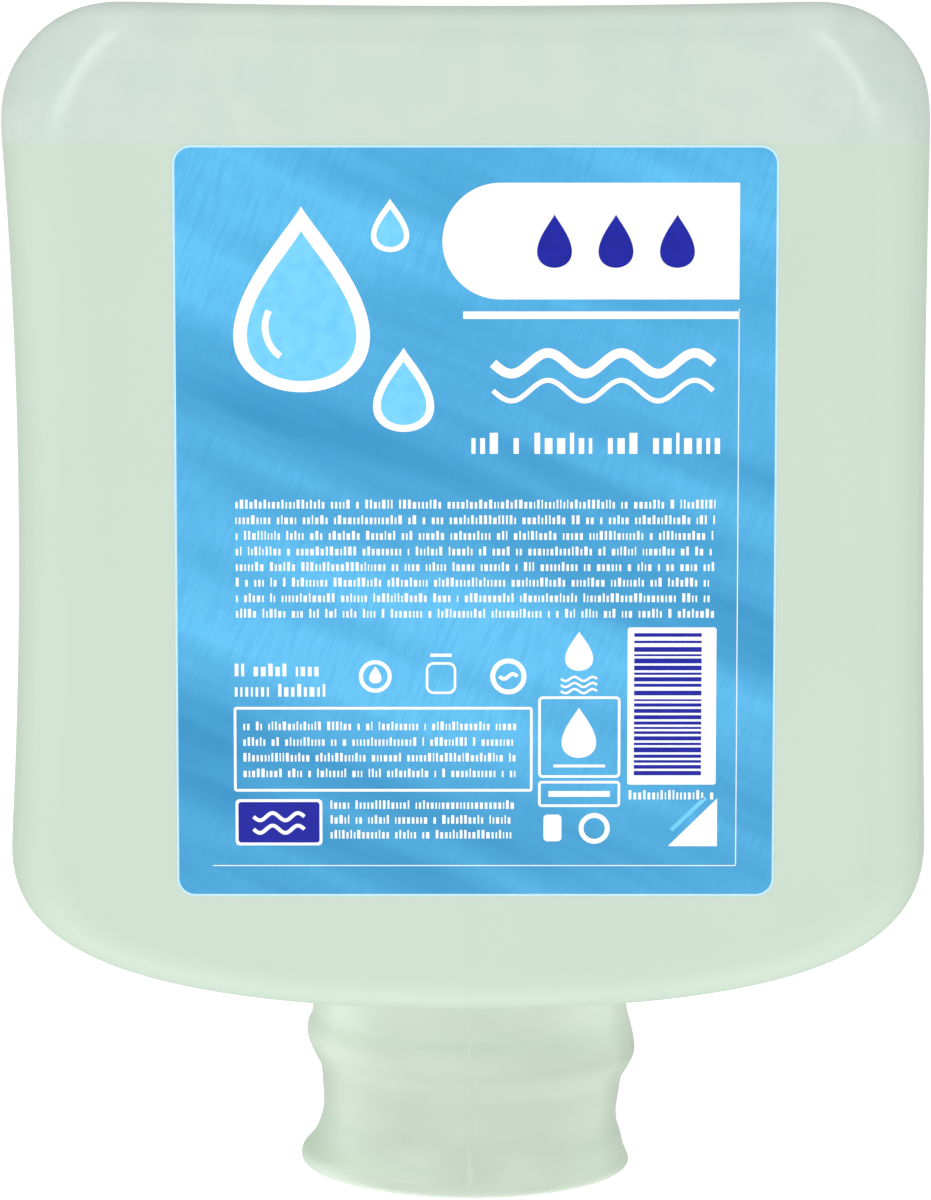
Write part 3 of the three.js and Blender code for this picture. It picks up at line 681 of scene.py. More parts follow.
def milky_hood():
    finish = Finish("milky_hood", Roughness=0.36)

    def rising(where, limits):
        """A ramp from 0 to 1 between two places, in millimetres."""
        return finish.ramp(where, limits[0] * MM, limits[1] * MM)

    # painted light on the upper hood, where the shoulder's shadow falls
    tone = finish.mix(rising(finish.height(), LIP_PAINTED_LIGHT_SPAN), HOOD_GREY, HOOD_PAINTED_LIGHT_TONE)
    clouds = finish.ramp(finish.noise(60, 3), 0.35, 0.7)
    tone = finish.mix(finish.math("MULTIPLY", clouds, HOOD_CLOUDS), tone, HOOD_CLOUD)
    # painted light towards the sides, more on the foot and the left flank, then painted shade at the far
    # sides
    painted_foot_light = finish.math("MULTIPLY", rising(finish.height(), FOOT_PAINTED_LIGHT_SPAN), HOOD_PAINTED_FOOT_LIGHT)
    painted_left_light = finish.math("MULTIPLY", rising(finish.across(), LEFT_PAINTED_LIGHT_SPAN), HOOD_PAINTED_LEFT_LIGHT)
    painted_side_light = finish.math("ADD", finish.math("ADD", painted_foot_light, painted_left_light), HOOD_PAINTED_SIDE_LIGHT)
    finish.colour(finish.painted_edge_light_and_shade(tone, painted_side_light, HOOD_PAINTED_SIDE_SHADE, HOOD_PAINTED_TURNS))
    finish.bump(finish.noise(GRAIN, 2), GRAIN_DEPTH * MM)
    return finish.material


hood = turn_outwards(make_mesh("hood_shell", hood_points, hood_faces, milky_hood()))
mark_turned_aside(hood)
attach(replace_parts(hood, "hood"), "hood")
print("hood height", HOOD_HEIGHT, "mm")

# %% [markdown]
# ## White pump plastic
#
# The pump is polypropylene, whiter and glossier than the bottle. The collar that clamps it in the
# neck has fine grip ribs for the capping machine. They repeat round the collar, so Geometry Nodes
# make them: a circle of points, one small block on each, turned to face outwards.

# %% Mix the pump's finishes


def clouded(name, colour, shade, clouds, grain, depth, detail=2, drift=(0.3, 0.7), **sockets):
    """Two near tones that drift into each other, under a fine grain of that depth in millimetres."""
    finish = Finish(name, **sockets)
    share = finish.ramp(finish.noise(clouds, 2), *drift)
    finish.colour(finish.mix(share, linear(*colour), linear(*shade)))
    finish.bump(finish.noise(grain, detail), depth * MM)
    return finish.material


MOULDED = {"clouds": 90, "grain": 2600, "depth": 0.008, "detail": 3}
LIQUID = {"clouds": 24, "grain": 60, "depth": 0.02}
white_finish = clouded("white_plastic", (240, 241, 238), (233, 235, 231), **MOULDED, Roughness=0.3)
silicone_finish = clouded("silicone", (226, 228, 222), (216, 219, 212), **MOULDED, Roughness=0.5)
soap_finish = clouded("soap", (222, 238, 224), (214, 232, 218), **LIQUID, Roughness=0.06)

SCREEN_THREADS = 700.0
SCREEN_DEPTH = 0.06


def screen_finish():
    finish = Finish("mesh_fabric", Roughness=0.75)
    sockets = {"Vector": finish.place, "Scale": SCREEN_THREADS}
    warp, weft = (finish.node("ShaderNodeTexWave", sockets, bands_direction=axis) for axis in "XY")
    weave = finish.math("MULTIPLY", warp.outputs["Fac"], weft.outputs["Fac"])
    finish.colour(finish.mix(weave, linear(196, 200, 200), linear(246, 247, 246)))
    finish.bump(weave, SCREEN_DEPTH * MM)
    return finish.material


def wire_finish():
    finish = Finish("spring_steel", Metallic=1.0, Roughness=0.28)
    drawn = finish.noise(900, 3, longer=(1, 1, 0.1))
    finish.colour(finish.mix(finish.ramp(drawn, 0.3, 0.7), linear(196, 198, 201), linear(168, 170, 174)))
    finish.bump(drawn, 0.006 * MM)
    return finish.material


hidden = [(white_finish, ["pump_housing", "air_piston", "liquid_piston", "mixing_tube"]),
          (silicone_finish, ["neck_gasket", "inlet_valve", "discharge_valve"]),
          (soap_finish, ["soap_fill"]), (wire_finish(), ["return_spring"]),
          (screen_finish(), ["foam_mesh_upper", "foam_mesh_lower"])]
for material, names in hidden:
    for name in names:
        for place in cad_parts[name].material_slots:
            place.material = material
    print(material.name, "on", ", ".join(names))

# %% Ribs round the collar
COLLAR_LOW = 13.2
COLLAR_TOP = 25.2
COLLAR = 18.5  # radii of the collar, its snap bead, its bore and the hole for the nozzle
COLLAR_BEAD = 19.55
COLLAR_BORE = 17.2
COLLAR_HOLE = 7.6
COLLAR_PROFILE = [(COLLAR_HOLE, COLLAR_LOW), (COLLAR, COLLAR_LOW), (COLLAR, 14.7), (COLLAR_BEAD, 15.2),
                  (COLLAR_BEAD, 18.8), (COLLAR, 19.3), (COLLAR, COLLAR_TOP), (COLLAR_BORE, COLLAR_TOP),
                  (COLLAR_BORE, 14.6), (COLLAR_HOLE, 14.6)]
RIB_LOW, RIB_HIGH = 19.7, 24.7
RIB_COUNT = 96
RIB_THICK, RIB_WIDE = 0.6, 0.55


def group_with(name, sockets):
    """A geometry node group with the named inputs, and a short way to add and join its nodes."""
    tree = bpy.data.node_groups.new(name, "GeometryNodeTree")
    for title, kind in sockets.items():
        tree.interface.new_socket(title, in_out="INPUT", socket_type="NodeSocket" + kind)
    tree.interface.new_socket("Geometry", in_out="OUTPUT", socket_type="NodeSocketGeometry")
    given = tree.nodes.new("NodeGroupInput")

    def add(kind, inputs=(), **settings):
        return add_node(tree, kind, inputs, **settings)

    return tree, given.outputs, add


def end_group(tree, add, instances, material):
    """Makes the instances real, gives them their material and hands them to the group's output."""
    real = add("GeometryNodeRealizeInstances", {0: instances}).outputs[0]
    dressed = add("GeometryNodeSetMaterial", {"Geometry": real, "Material": material}).outputs[0]
    add("NodeGroupOutput", {0: dressed})
    return tree


def grown(name, tree, values):
    """Runs the tree with those values and returns its result as a plain mesh object."""
    seed = bpy.data.objects.new(name, bpy.data.meshes.new(name))
    bpy.context.scene.collection.objects.link(seed)
    modifier = seed.modifiers.new(tree.name, "NODES")
    modifier.node_group = tree
    for item in tree.interface.items_tree:
        if item.in_out == "INPUT":
            modifier[item.identifier] = values[item.name]
    bpy.context.view_layer.update()
    mesh = bpy.data.meshes.new_from_object(seed.evaluated_get(bpy.context.evaluated_depsgraph_get()))
    mesh.name = name
    seed.modifiers.clear()
    seed.data = mesh
    return seed


def rib_tree():
    tree, given, add = group_with("ribs_round_a_ring", {
        "Count": "Int", "Radius": "Float", "Size": "Vector", "Height": "Float", "Finish": "Material"})
    circle = add("GeometryNodeMeshCircle", {"Vertices": given["Count"], "Radius": given["Radius"]})
    block = add("GeometryNodeMeshCube", {"Size": given["Size"]})
    spot = add("ShaderNodeSeparateXYZ", {0: add("GeometryNodeInputPosition").outputs[0]})
    angle = add("ShaderNodeMath", {0: spot.outputs["Y"], 1: spot.outputs["X"]}, operation="ARCTAN2")
    euler = add("ShaderNodeCombineXYZ", {"Z": angle.outputs[0]})
    facing = add("FunctionNodeEulerToRotation", {0: euler.outputs[0]})
    ribs = add("GeometryNodeInstanceOnPoints", {
        "Points": circle.outputs[0], "Instance": block.outputs[0], "Rotation": facing.outputs[0]})
    lift = add("ShaderNodeCombineXYZ", {"Z": given["Height"]})
    raised = add("GeometryNodeTransform", {"Geometry": ribs.outputs[0], "Translation": lift.outputs[0]})
    return end_group(tree, add, raised.outputs[0], given["Finish"])


collar = turned("collar_ring", rounded(COLLAR_PROFILE, 0.3), white_finish, 160)
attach(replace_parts(collar, "collar"), "bottle")
ribs = grown("collar_ribs", rib_tree(), {
    "Count": RIB_COUNT, "Radius": (COLLAR + 0.1) * MM,
    "Size": (RIB_THICK * MM, RIB_WIDE * MM, (RIB_HIGH - RIB_LOW) * MM),
    "Height": (RIB_LOW + RIB_HIGH) / 2 * MM, "Finish": white_finish})
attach(ribs, "bottle")
print("collar ribs:", len(ribs.data.polygons), "faces")

# %% [markdown]
# ## The nozzle
#
# The nozzle shows when the hood is off: a plain outlet, a broad flange that the dispenser's fork
# lifts, and a stem that rises into the collar. Injection-moulded edges are never quite sharp, so
# its profile is rounded before it is turned. The profile keeps every size of the CAD piece.

# %% Turn the nozzle
OUTLET = 2.6  # radii of the outlet's bore, the stem and its bore, the flange and the collar's guide
STEM = 6
STEM_BORE = 4.6
FLANGE = 12.35
GUIDE = 7.2
NOZZLE_PROFILE = [(OUTLET, 2.9), (4.8, 2.9), (STEM, 3.9), (12.05, 3.9), (FLANGE, 4.2), (FLANGE, 5.1),
                  (STEM, 5.1), (STEM, 13), (GUIDE, 13.6), (GUIDE, 14.9), (STEM, 14.9), (STEM, 19.4),
                  (STEM_BORE, 19.4), (STEM_BORE, 9), (OUTLET, 9)]
nozzle = turned("nozzle_body", rounded(NOZZLE_PROFILE, 0.22), white_finish)
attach(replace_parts(nozzle, "nozzle"), "piston")
low, high = (np.array(corner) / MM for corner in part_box("nozzle"))
print("CAD nozzle from", low[2].round(2), "to", high[2].round(2), "mm, radius", high[0].round(2))

# %% [markdown]
# ## The label film
#
# The label is one printed film with rounded corners, a bright die-cut edge and a satin surface. Its
# ground is a field of blue with broad soft bands that fall to the right, like light in water, and
# with fine hatching across them. Both are noise that is long one way and turned to its slant. The
# print's own shapes come later, as thin layers of ink.

# %% Mix the film's blues
LABEL_LEFT, LABEL_RIGHT = -35.85, 37.15
LABEL_LOW, LABEL_HIGH = 44.05, 135.45
LABEL_CORNER = 2.2
FRONT = -46
FILM = 0.05  # thickness drawn here; three layers of ink stay inside the CAD film's 0.12
INK = 0.02
SATIN = 0.35  # specular level of the film and its inks
BAND_TURN = 20  # the slants, in degrees: broad bands, the finer ones in them, and the hatching
FINE_BAND_TURN = 24
HATCH_TURN = -70
BROAD_SHARE = 0.74
HATCH_STRENGTH = 0.27


def film_blue():
    finish = Finish("label_blue", Roughness=0.34, Specular_IOR_Level=SATIN)
    broad = finish.noise(64, 1, longer=(7, 1, 1), turn=BAND_TURN)
    bands = finish.noise(240, 2, longer=(9, 1, 1), turn=FINE_BAND_TURN)
    hatching = finish.noise(1800, 1, longer=(8, 1, 1), turn=HATCH_TURN)
    value = finish.math("ADD", finish.math("MULTIPLY", broad, BROAD_SHARE),
                        finish.math("MULTIPLY", bands, 1 - BROAD_SHARE))
    ground = finish.mix(finish.ramp(value, 0.35, 0.63), linear(46, 141, 191), linear(94, 189, 237))
    fine = finish.math("MULTIPLY", finish.ramp(hatching, 0.4, 0.7), HATCH_STRENGTH)
    finish.colour(finish.mix(fine, ground, linear(56, 146, 204)))
    finish.bump(finish.noise(300, 2), 0.006 * MM)
    return finish.material


PRINTED = {"clouds": 700, "grain": 2400, "depth": 0.003, "drift": (0.35, 0.7),
           "Roughness": 0.4, "Specular_IOR_Level": SATIN}
white_ink = clouded("white_ink", (252, 253, 254), (246, 249, 252), **PRINTED)
navy_ink = clouded("navy_ink", (4, 18, 160), (2, 12, 146), **PRINTED)
pale_ink = clouded("pale_ink", (118, 206, 246), (104, 196, 242), **PRINTED)
edge_ink = clouded("edge_ink", (196, 232, 246), (186, 226, 242), **PRINTED)
print("label from", LABEL_LEFT, "to", LABEL_RIGHT, "mm")

# %% [markdown]
# ## Flat shapes on the label
#
# Every printed shape is a thin plate, given as a closed line of points in millimetres from the
# label's top left corner. A stroke is the band between a line moved out and the same line moved in.
# Plates are cheap, stay crisp at any zoom, and carry their colour in every view.

# %% Plates and strokes


def on_label(points):
    points = np.array(points, float)
    return np.column_stack([LABEL_LEFT + points[:, 0], LABEL_HIGH - points[:, 1]])


class Print:
    """Collects plates of one ink in one of the layers on the film, counted from 1."""

    def __init__(self, level):
        self.near = FRONT - FILM - (level - 1) * INK
        self.points, self.faces = [], []

    def plate(self, outline_mm):
        """A filled shape."""
        shape = on_label(outline_mm)
        count, start = len(shape), len(self.points)
        for y in (self.near, self.near - INK):
            self.points += [(x, y, z) for x, z in shape]
        back = [start + k for k in range(count)]
        front = [start + count + k for k in range(count)]
        self.faces += [tuple(back), tuple(front[::-1])]
        self.faces += [(back[k - 1], back[k], front[k], front[k - 1]) for k in range(count)]

    def stroke(self, line_mm, width, closed=True):
        """A band of even width along a line."""
        line = np.array(line_mm, float)
        if closed:
            along = np.roll(line, -1, axis=0) - np.roll(line, 1, axis=0)
        else:
            along = np.gradient(line, axis=0)
        along /= np.linalg.norm(along, axis=1)[:, None]
        aside = np.column_stack([-along[:, 1], along[:, 0]]) * width / 2
        left, right = on_label(line + aside), on_label(line - aside)
        start, count = len(self.points), len(line)
        for l, r in zip(left, right):
            self.points += [(l[0], self.near, l[1]), (r[0], self.near, r[1]),
                            (r[0], self.near - INK, r[1]), (l[0], self.near - INK, l[1])]
        for k in range(count if closed else count - 1):
            here, there = start + 4 * k, start + 4 * ((k + 1) % count)
            self.faces += [(here + s, here + (s + 1) % 4, there + (s + 1) % 4, there + s) for s in range(4)]
        if not closed:
            self.faces += [(start + 3, start + 2, start + 1, start)]
            self.faces += [tuple(start + 4 * (count - 1) + s for s in range(4))]

    def finish(self, name, material):
        thing = turn_outwards(make_mesh(name, self.points, self.faces, material))
        thing.data.shade_flat()
        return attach(thing, "bottle")


def rounded_box(left, top, right, bottom, radius, steps=6):
    corners = [(right - radius, top + radius, -90), (right - radius, bottom - radius, 0),
               (left + radius, bottom - radius, 90), (left + radius, top + radius, 180)]
    return [(x + radius * math.cos(math.radians(a)), y + radius * math.sin(math.radians(a)))
            for x, y, start in corners for a in np.linspace(start, start + 90, steps + 1)]


def bent(x, y, radius, start, end, steps):
    """Points on an arc about x and y, from one angle to the other in radians, both ends included."""
    return [(x + radius * math.cos(a), y + radius * math.sin(a)) for a in np.linspace(start, end, steps)]


def circle(x, y, radius, steps=48):
    return bent(x, y, radius, 0, 2 * math.pi, steps + 1)[:-1]


DROP_POINT = 1.3  # how sharply a drop's top comes to its point


def drop(x, y, width, height, steps=72):
    """A water drop, point upwards, centred on x and y."""
    turns = np.linspace(0, 2 * math.pi, steps, endpoint=False)
    wide = np.sin(turns) * np.sin(turns / 2) ** DROP_POINT
    wide /= np.abs(wide).max()
    return [(x + width / 2 * w, y - height / 2 * math.cos(a)) for w, a in zip(wide, turns)]


def wave(left, right, y, rise, count, steps=40):
    """A sine line from left to right with `count` waves."""
    shares = np.linspace(0, 1, count * steps)
    return [(left + (right - left) * t, y + rise * math.sin(2 * math.pi * count * t)) for t in shares]


print("plate, stroke, rounded_box, bent, circle, drop, wave ready")

# %% [markdown]
# ## The film and its die-cut edge
#
# The film is a sheet of a twentieth of a millimetre. Its rim is a paler ring, where the print stops
# just short of the cut, and its face inside that ring is blue.

# %% Lay the film
RIM = 0.28
CUT = 0.6  # share of the film's thickness at the cut, below the rim's slope
LABEL_WIDTH, LABEL_TALL = LABEL_RIGHT - LABEL_LEFT, LABEL_HIGH - LABEL_LOW
cut_line = on_label(rounded_box(0, 0, LABEL_WIDTH, LABEL_TALL, LABEL_CORNER))
inner_line = on_label(rounded_box(RIM, RIM, LABEL_WIDTH - RIM, LABEL_TALL - RIM, LABEL_CORNER - RIM))
loops = [(cut_line, FRONT), (cut_line, FRONT - CUT * FILM), (inner_line, FRONT - FILM)]
count = len(cut_line)
points = [(x, y, z) for line, y in loops for x, z in line]
faces = net_faces(len(loops), count) + [tuple(range(count))[::-1], tuple(range(2 * count, 3 * count))]
label = make_mesh("label_film", points, faces, edge_ink)
label.data.materials.append(film_blue())
label.data.polygons[-1].material_index = 1
turn_outwards(label)
label.data.shade_flat()
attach(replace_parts(label, "label"), "bottle")
print("film", round(LABEL_WIDTH, 1), "by", round(LABEL_TALL, 1), "mm")

# %% [markdown]
# ## The main motif
#
# Soap labels carry a water motif and a title. This one has its own: three drops on the left, a white
# band that runs to the right edge, and two waves where a title would be. No letters are drawn.

# %% Print the motif
white, pale = Print(1), Print(1)
navy, drops_inside = Print(2), Print(2)
top_white, shine = Print(3), Print(3)

# each drop: across, down, width and height of its white shape, then down, width and height of the blue
DROPS = [(15.5, 18.5, 16.5, 22.4, 19.3, 13.2, 18.1), (27.8, 29.4, 7.4, 10.2, 29.8, 5.5, 7.7),
         (26.2, 9.6, 4.6, 6.4, 9.9, 3.3, 4.6)]
for x, y, wide, tall, blue_y, blue_wide, blue_tall in DROPS:
    white.plate(drop(x, y, wide, tall))
    drops_inside.plate(drop(x, blue_y, blue_wide, blue_tall))
shine.stroke(bent(DROPS[0][0], 21.8, 4.4, 2.2, 3.6, 20), 0.8, closed=False)

BAND_TOP, BAND_BOTTOM, BAND_START, BAND_END = 4.5, 18.5, 39.5, 68.3
band_middle, band_half = (BAND_TOP + BAND_BOTTOM) / 2, (BAND_BOTTOM - BAND_TOP) / 2
round_end = bent(BAND_START, band_middle, band_half, math.pi / 2, 3 * math.pi / 2, 33)
white.plate([(BAND_END, BAND_TOP), (BAND_END, BAND_BOTTOM)] + round_end)
white.stroke([(x, 20.4) for x in np.linspace(35, BAND_END, 20)], 0.9, closed=False)
for k in range(3):
    navy.plate(drop(46 + 7.4 * k, band_middle, 4.2, 6.4))
for y, width in ((26.2, 1.15), (29.5, 0.6)):
    white.stroke(wave(38.6, 65.2, y, 1.25, 3), width, closed=False)
print("motif: three drops, a band and two waves")

# %% [markdown]
# ## Rows of small print
#
# The part carries no words. Each row of small print is a run of small upright blocks of uneven
# width, some taller, with a wider gap now and then, which is how words look from afar. Geometry
# Nodes make the rows: each point takes a random width, the steps before it in its row are added up
# to give its place, and what would pass the row's end is dropped. The same tree turned on its side
# makes the bars of the code block.

# %% Grow the rows
TALL_ABOVE = 0.68  # a block whose chance, from 0 to 1, is above this is a taller one
WORD_ENDS_ABOVE = 0.84


def block_tree():
    lengths = ("Pitch", "Row Width", "Height", "Depth", "Narrow", "Wide", "Gap", "Word Gap", "Rise")
    tree, value, add = group_with("rows_of_blocks", {"Rows": "Int", "Blocks": "Int"} | {
        title: "Float" for title in lengths} | {"Seed": "Int", "Finish": "Material"})

    def calculate(operation, a, b):
        return add("ShaderNodeMath", {0: a, 1: b}, operation=operation).outputs[0]

    def chance(low, high, offset):
        """A random number for each point, from a seed that is `offset` past the given one."""
        seed = add("FunctionNodeIntegerMath", {0: value["Seed"], 1: offset}, operation="ADD").outputs[0]
        made = add("FunctionNodeRandomValue", data_type="FLOAT")
        for title, source in (("Min", low), ("Max", high), ("Seed", seed)):
            socket = next(i for i in made.inputs if i.name == title and i.enabled)
            if isinstance(source, bpy.types.NodeSocket):
                tree.links.new(source, socket)
            else:
                socket.default_value = source
        return next(o for o in made.outputs if o.enabled)

    def stored(geometry, name, source):
        """Keeps a value on the points, so that it stays the same when the points are moved."""
        made = add("GeometryNodeStoreNamedAttribute", {"Geometry": geometry, "Name": name, "Value": source},
                   data_type="FLOAT", domain="POINT")
        named = add("GeometryNodeInputNamedAttribute", {"Name": name}, data_type="FLOAT")
        return made.outputs[0], named.outputs[0]

    def whole(operation, a, b):
        return add("FunctionNodeIntegerMath", {0: a, 1: b}, operation=operation).outputs[0]

    total = whole("MULTIPLY", value["Rows"], value["Blocks"])
    points = add("GeometryNodePoints", {"Count": total}).outputs[0]
    row = whole("DIVIDE_FLOOR", add("GeometryNodeInputIndex").outputs[0], value["Blocks"])
    points, width = stored(points, "block_width", chance(value["Narrow"], value["Wide"], 0))
    is_tall = calculate("GREATER_THAN", chance(0.0, 1.0, 100), TALL_ABOVE)
    points, rise = stored(points, "block_rise", calculate("MULTIPLY", is_tall, value["Rise"]))
    ends_word = calculate("GREATER_THAN", chance(0.0, 1.0, 200), WORD_ENDS_ABOVE)
    gap = calculate("ADD", value["Gap"], calculate("MULTIPLY", ends_word, value["Word Gap"]))
    sockets = {"Value": calculate("ADD", width, gap), "Group ID": row}
    before = add("GeometryNodeAccumulateField", sockets, data_type="FLOAT").outputs["Trailing"]
    past = calculate("GREATER_THAN", calculate("ADD", before, width), value["Row Width"])
    points, past = stored(points, "block_past", past)
    centre = calculate("ADD", before, calculate("MULTIPLY", width, 0.5))
    down = calculate("MULTIPLY", calculate("MULTIPLY", row, value["Pitch"]), -1.0)
    up = calculate("ADD", down, calculate("MULTIPLY", rise, 0.5))
    place = add("ShaderNodeCombineXYZ", {"X": centre, "Z": up}).outputs[0]
    placed = add("GeometryNodeSetPosition", {"Geometry": points, "Position": place}).outputs[0]
    is_past = add("FunctionNodeCompare", {0: past, 1: 0.5}, data_type="FLOAT", operation="GREATER_THAN")
    sockets = {"Geometry": placed, "Selection": is_past.outputs[0]}
    kept = add("GeometryNodeDeleteGeometry", sockets, domain="POINT").outputs[0]
    block = add("GeometryNodeMeshCube", {"Size": (1, 1, 1)}).outputs[0]
    tall = calculate("ADD", value["Height"], rise)
    size = add("ShaderNodeCombineXYZ", {"X": width, "Y": value["Depth"], "Z": tall}).outputs[0]
    sockets = {"Points": kept, "Instance": block, "Scale": size}
    blocks = add("GeometryNodeInstanceOnPoints", sockets).outputs[0]
    return end_group(tree, add, blocks, value["Finish"])


ROWS_OF_BLOCKS = block_tree()


def print_rows(name, left, top, sizes, material, level=1, upright=False):
    """Rows whose first line is centred `top` mm down the label. Upright turns them into bars."""
    given = {title: value * MM if isinstance(value, float) else value for title, value in sizes.items()}
    thing = grown(name, ROWS_OF_BLOCKS, given | {"Depth": INK * MM, "Finish": material})
    y = FRONT - FILM - (level - 0.5) * INK
    for v in thing.data.vertices:
        x, z = (-v.co.z, -v.co.x) if upright else (v.co.x, v.co.z)
        v.co = (x + (LABEL_LEFT + left) * MM, v.co.y + y * MM, z + (LABEL_HIGH - top) * MM)
    for extra in ("block_width", "block_rise", "block_past"):
        if extra in thing.data.attributes:
            thing.data.attributes.remove(thing.data.attributes[extra])
    turn_outwards(thing)
    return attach(thing, "bottle")


LETTER_SHARES = {"Narrow": 0.18, "Wide": 0.52, "Gap": 0.3, "Word Gap": 0.7, "Rise": 0.34}


def words(width, rows, pitch, height, seed):
    """Sizes for rows that look like words in letters of that height, in millimetres."""
    sizes = {"Rows": rows, "Blocks": int(1.5 * width / height) + 10, "Seed": seed}
    sizes |= {"Pitch": float(pitch), "Row Width": float(width), "Height": float(height)}
    return sizes | {title: share * height for title, share in LETTER_SHARES.items()}


# each block of print: name, left, top, then width, rows, pitch, height and seed
SMALL_PRINT = [("text_title", 36, 36.2, 31, 1, 1, 1.9, 8), ("text_body", 7.4, 43.4, 58.2, 8, 1.9, 0.8, 5),
               ("text_short", 7.2, 63.7, 11.4, 2, 2.5, 1.15, 11),
               ("text_framed", 8.2, 70.5, 33.4, 4, 1.93, 0.78, 17),
               ("text_address", 18.8, 80.2, 22.4, 3, 1.83, 0.78, 23),
               ("text_under_code", 55.2, 79, 10.6, 1, 1, 0.85, 29)]
for name, left, top, *sizes in SMALL_PRINT:
    print_rows(name, left, top, words(*sizes), white_ink)
print("small print:", len(SMALL_PRINT), "blocks")

# %% [markdown]
# ## Icons, frames and the code block
#
# The lower part of such a label holds small marks: frames, a badge, and a white block with bars for
# the scanner. They are built from the same plates, with plain rings, drops and waves inside.

# %% Print the frames and the lines of the margin
FRAME_LINE = 0.32
HAIRLINE = 0.11
MARGIN_RIGHT, MARGIN_LOW = BAND_END, 87.6
for box in ((7.2, 68.2, 43.3, 78.3, 0.2), (44.3, 66.9, 54, 76.6, 0.4), (44.3, 77.3, 54, 80.2, 0.3)):
    white.stroke(rounded_box(*box), FRAME_LINE)
white.stroke([(MARGIN_RIGHT, y) for y in np.linspace(19.6, MARGIN_LOW, 20)], HAIRLINE, closed=False)
white.stroke([(x, MARGIN_LOW) for x in np.linspace(4.4, MARGIN_RIGHT, 20)], HAIRLINE, closed=False)

# %% Print three icons in a row: a drop in a ring, a jar, a wave in a ring
ICONS_DOWN = 64.3
white.stroke(circle(24.3, ICONS_DOWN, 1.75), 0.5)
white.plate(drop(24.3, 64.1, 1.5, 2.1))
white.stroke(rounded_box(30.6, 62.7, 34, 66.3, 0.8), 0.3)
white.stroke([(31, 61.7), (33.6, 61.7)], 0.4, closed=False)
white.stroke(circle(40.5, ICONS_DOWN, 1.9), 0.6)
white.stroke(wave(39.4, 41.6, ICONS_DOWN, 0.3, 1), 0.45, closed=False)

# %% Print the column beside the code: a drop over waves, and what its two frames hold
COLUMN = 49.1
white.plate(drop(COLUMN, 61.2, 3.4, 4.8))
for k in range(3):
    white.stroke(wave(46.9, 51.3, 64.6 + 0.75 * k, 0.25, 2), 0.28, closed=False)
white.plate(drop(COLUMN, 71.2, 4.2, 6.2))
white.stroke([(46, 75.3), (52.3, 75.3)], 0.35, closed=False)
white.stroke([(45.4, 78.75), (52.9, 78.75)], 0.7, closed=False)
white.plate(rounded_box(44.8, 81.3, 47, 84.6, 0.5))
white.stroke(circle(51, 83, 1.6), 0.6)

# %% Print the code's white block, the turned corner and the badge, and lay all of the inks
white.plate(rounded_box(55.0, 58.3, 65.8, 77.6, 0.3))
white.plate([(66.0, 79.3), (66.0, 85.2), (60.0, 85.2)])
pale.stroke([(60.4, 83.2), (64.6, 79.2)], 0.5, closed=False)
white.plate(rounded_box(7.2, 79.4, 17.8, 85.1, 0.5))
navy.plate(rounded_box(7.55, 79.75, 17.45, 84.75, 0.35))
for y in (81.55, 83.1):
    top_white.stroke(wave(9.4, 15.6, y, 0.45, 2), 0.45, closed=False)

white.finish("print_white", white_ink)
pale.finish("print_pale", pale_ink)
drops_inside.finish("print_drops", pale_ink)
shine.finish("print_shine", white_ink)
navy.finish("print_navy", navy_ink)
top_white.finish("print_badge_waves", white_ink)
bars = {"Rows": 1, "Blocks": 60, "Pitch": 1.0, "Row Width": 18.0, "Height": 8.2, "Narrow": 0.2,
        "Wide": 0.62, "Gap": 0.28, "Word Gap": 0.2, "Rise": 0.0, "Seed": 41}
print_rows("code_bars", 59.9, 59.0, bars, navy_ink, level=2, upright=True)
print("small marks printed")

# %% [markdown]
# ## Floor and light
#
# The photograph is a cut-out on white, lit flat from the front with two broad lights that brighten
# the rounded edges and draw the streaks on the upper corners. A sweep of white paper, which glows a
# little so that it stays white, and the same two lights and a soft overhead one stand for the
# studio. In use the pack hangs, so the paper lies just lower than the hood comes when it is pulled.

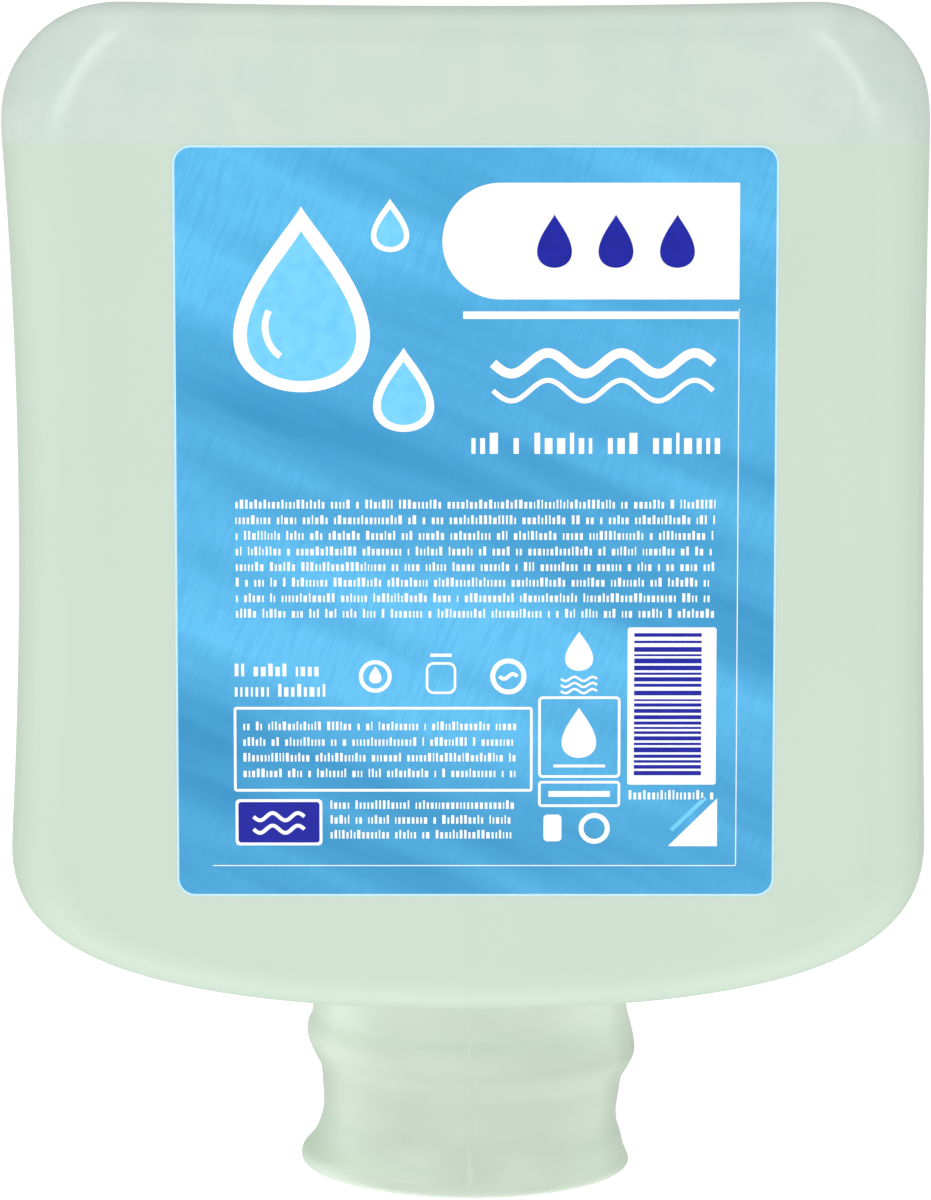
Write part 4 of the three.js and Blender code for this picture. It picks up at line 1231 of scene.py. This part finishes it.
# %% Set up the studio
HOOD_TRAVEL = 30
PAPER = -(HOOD_TRAVEL + 1) * MM
PAPER_FRONT, PAPER_BACK = -1.6, 0.9  # the flat stretch, in metres, before the paper curves up
PAPER_CURVE = 0.5
PAPER_TALL = 2.6
PAPER_SIDE = 2.4
PAPER_GLOW = 0.76
sweep_line = [(PAPER_FRONT, 0), (PAPER_BACK, 0)]
sweep_line += [(PAPER_BACK + PAPER_CURVE * math.sin(a), PAPER_CURVE * (1 - math.cos(a)))
               for a in np.linspace(0.1, math.pi / 2, 16)]
sweep_line += [(PAPER_BACK + PAPER_CURVE, PAPER_TALL)]
sweep_points = [(x / MM, y / MM, (PAPER + z) / MM) for y, z in sweep_line for x in (-PAPER_SIDE, PAPER_SIDE)]
sweep_faces = [(2 * k, 2 * k + 1, 2 * k + 3, 2 * k + 2) for k in range(len(sweep_line) - 1)]
paper = Finish("white_paper", Roughness=0.9, Base_Color=(0.5, 0.5, 0.5, 1),
               Emission_Color=(1, 1, 1, 1), Emission_Strength=PAPER_GLOW)
sweep = make_mesh("floor", sweep_points, sweep_faces, paper.material)

LIGHTS_AIM = np.array([0, 0, 0.085])
SIDE_BOX = {"elevation": 25, "distance": 1.1, "size": (0.46, 0.6)}
TOP_BOX = {"elevation": 80, "distance": 1.2, "size": (1.2, 0.8)}
SKY = 0.4


def softbox(name, watts, azimuth, elevation, distance, size):
    """An area light at that azimuth from the front, in degrees, turned to the pack."""
    light = bpy.data.objects.new(name, bpy.data.lights.new(name, "AREA"))
    light.data.shape = "RECTANGLE"
    light.data.size, light.data.size_y = size
    light.data.energy = watts
    a, e = math.radians(azimuth), math.radians(elevation)
    direction = np.array([math.sin(a) * math.cos(e), -math.cos(a) * math.cos(e), math.sin(e)])
    light.location = LIGHTS_AIM + direction * distance
    light.rotation_euler = (math.pi / 2 - e, 0, a)
    bpy.context.scene.collection.objects.link(light)


softbox("softbox_left", 3.45, -40, **SIDE_BOX)
softbox("softbox_right", 2.75, 40, **SIDE_BOX)
softbox("softbox_top", 2.1, 0, **TOP_BOX)

world = bpy.data.worlds.new("studio")
world.use_nodes = True
background = world.node_tree.nodes["Background"]
background.inputs["Color"].default_value = (1, 1, 1, 1)
background.inputs["Strength"].default_value = SKY
bpy.context.scene.world = world
print("studio lit")
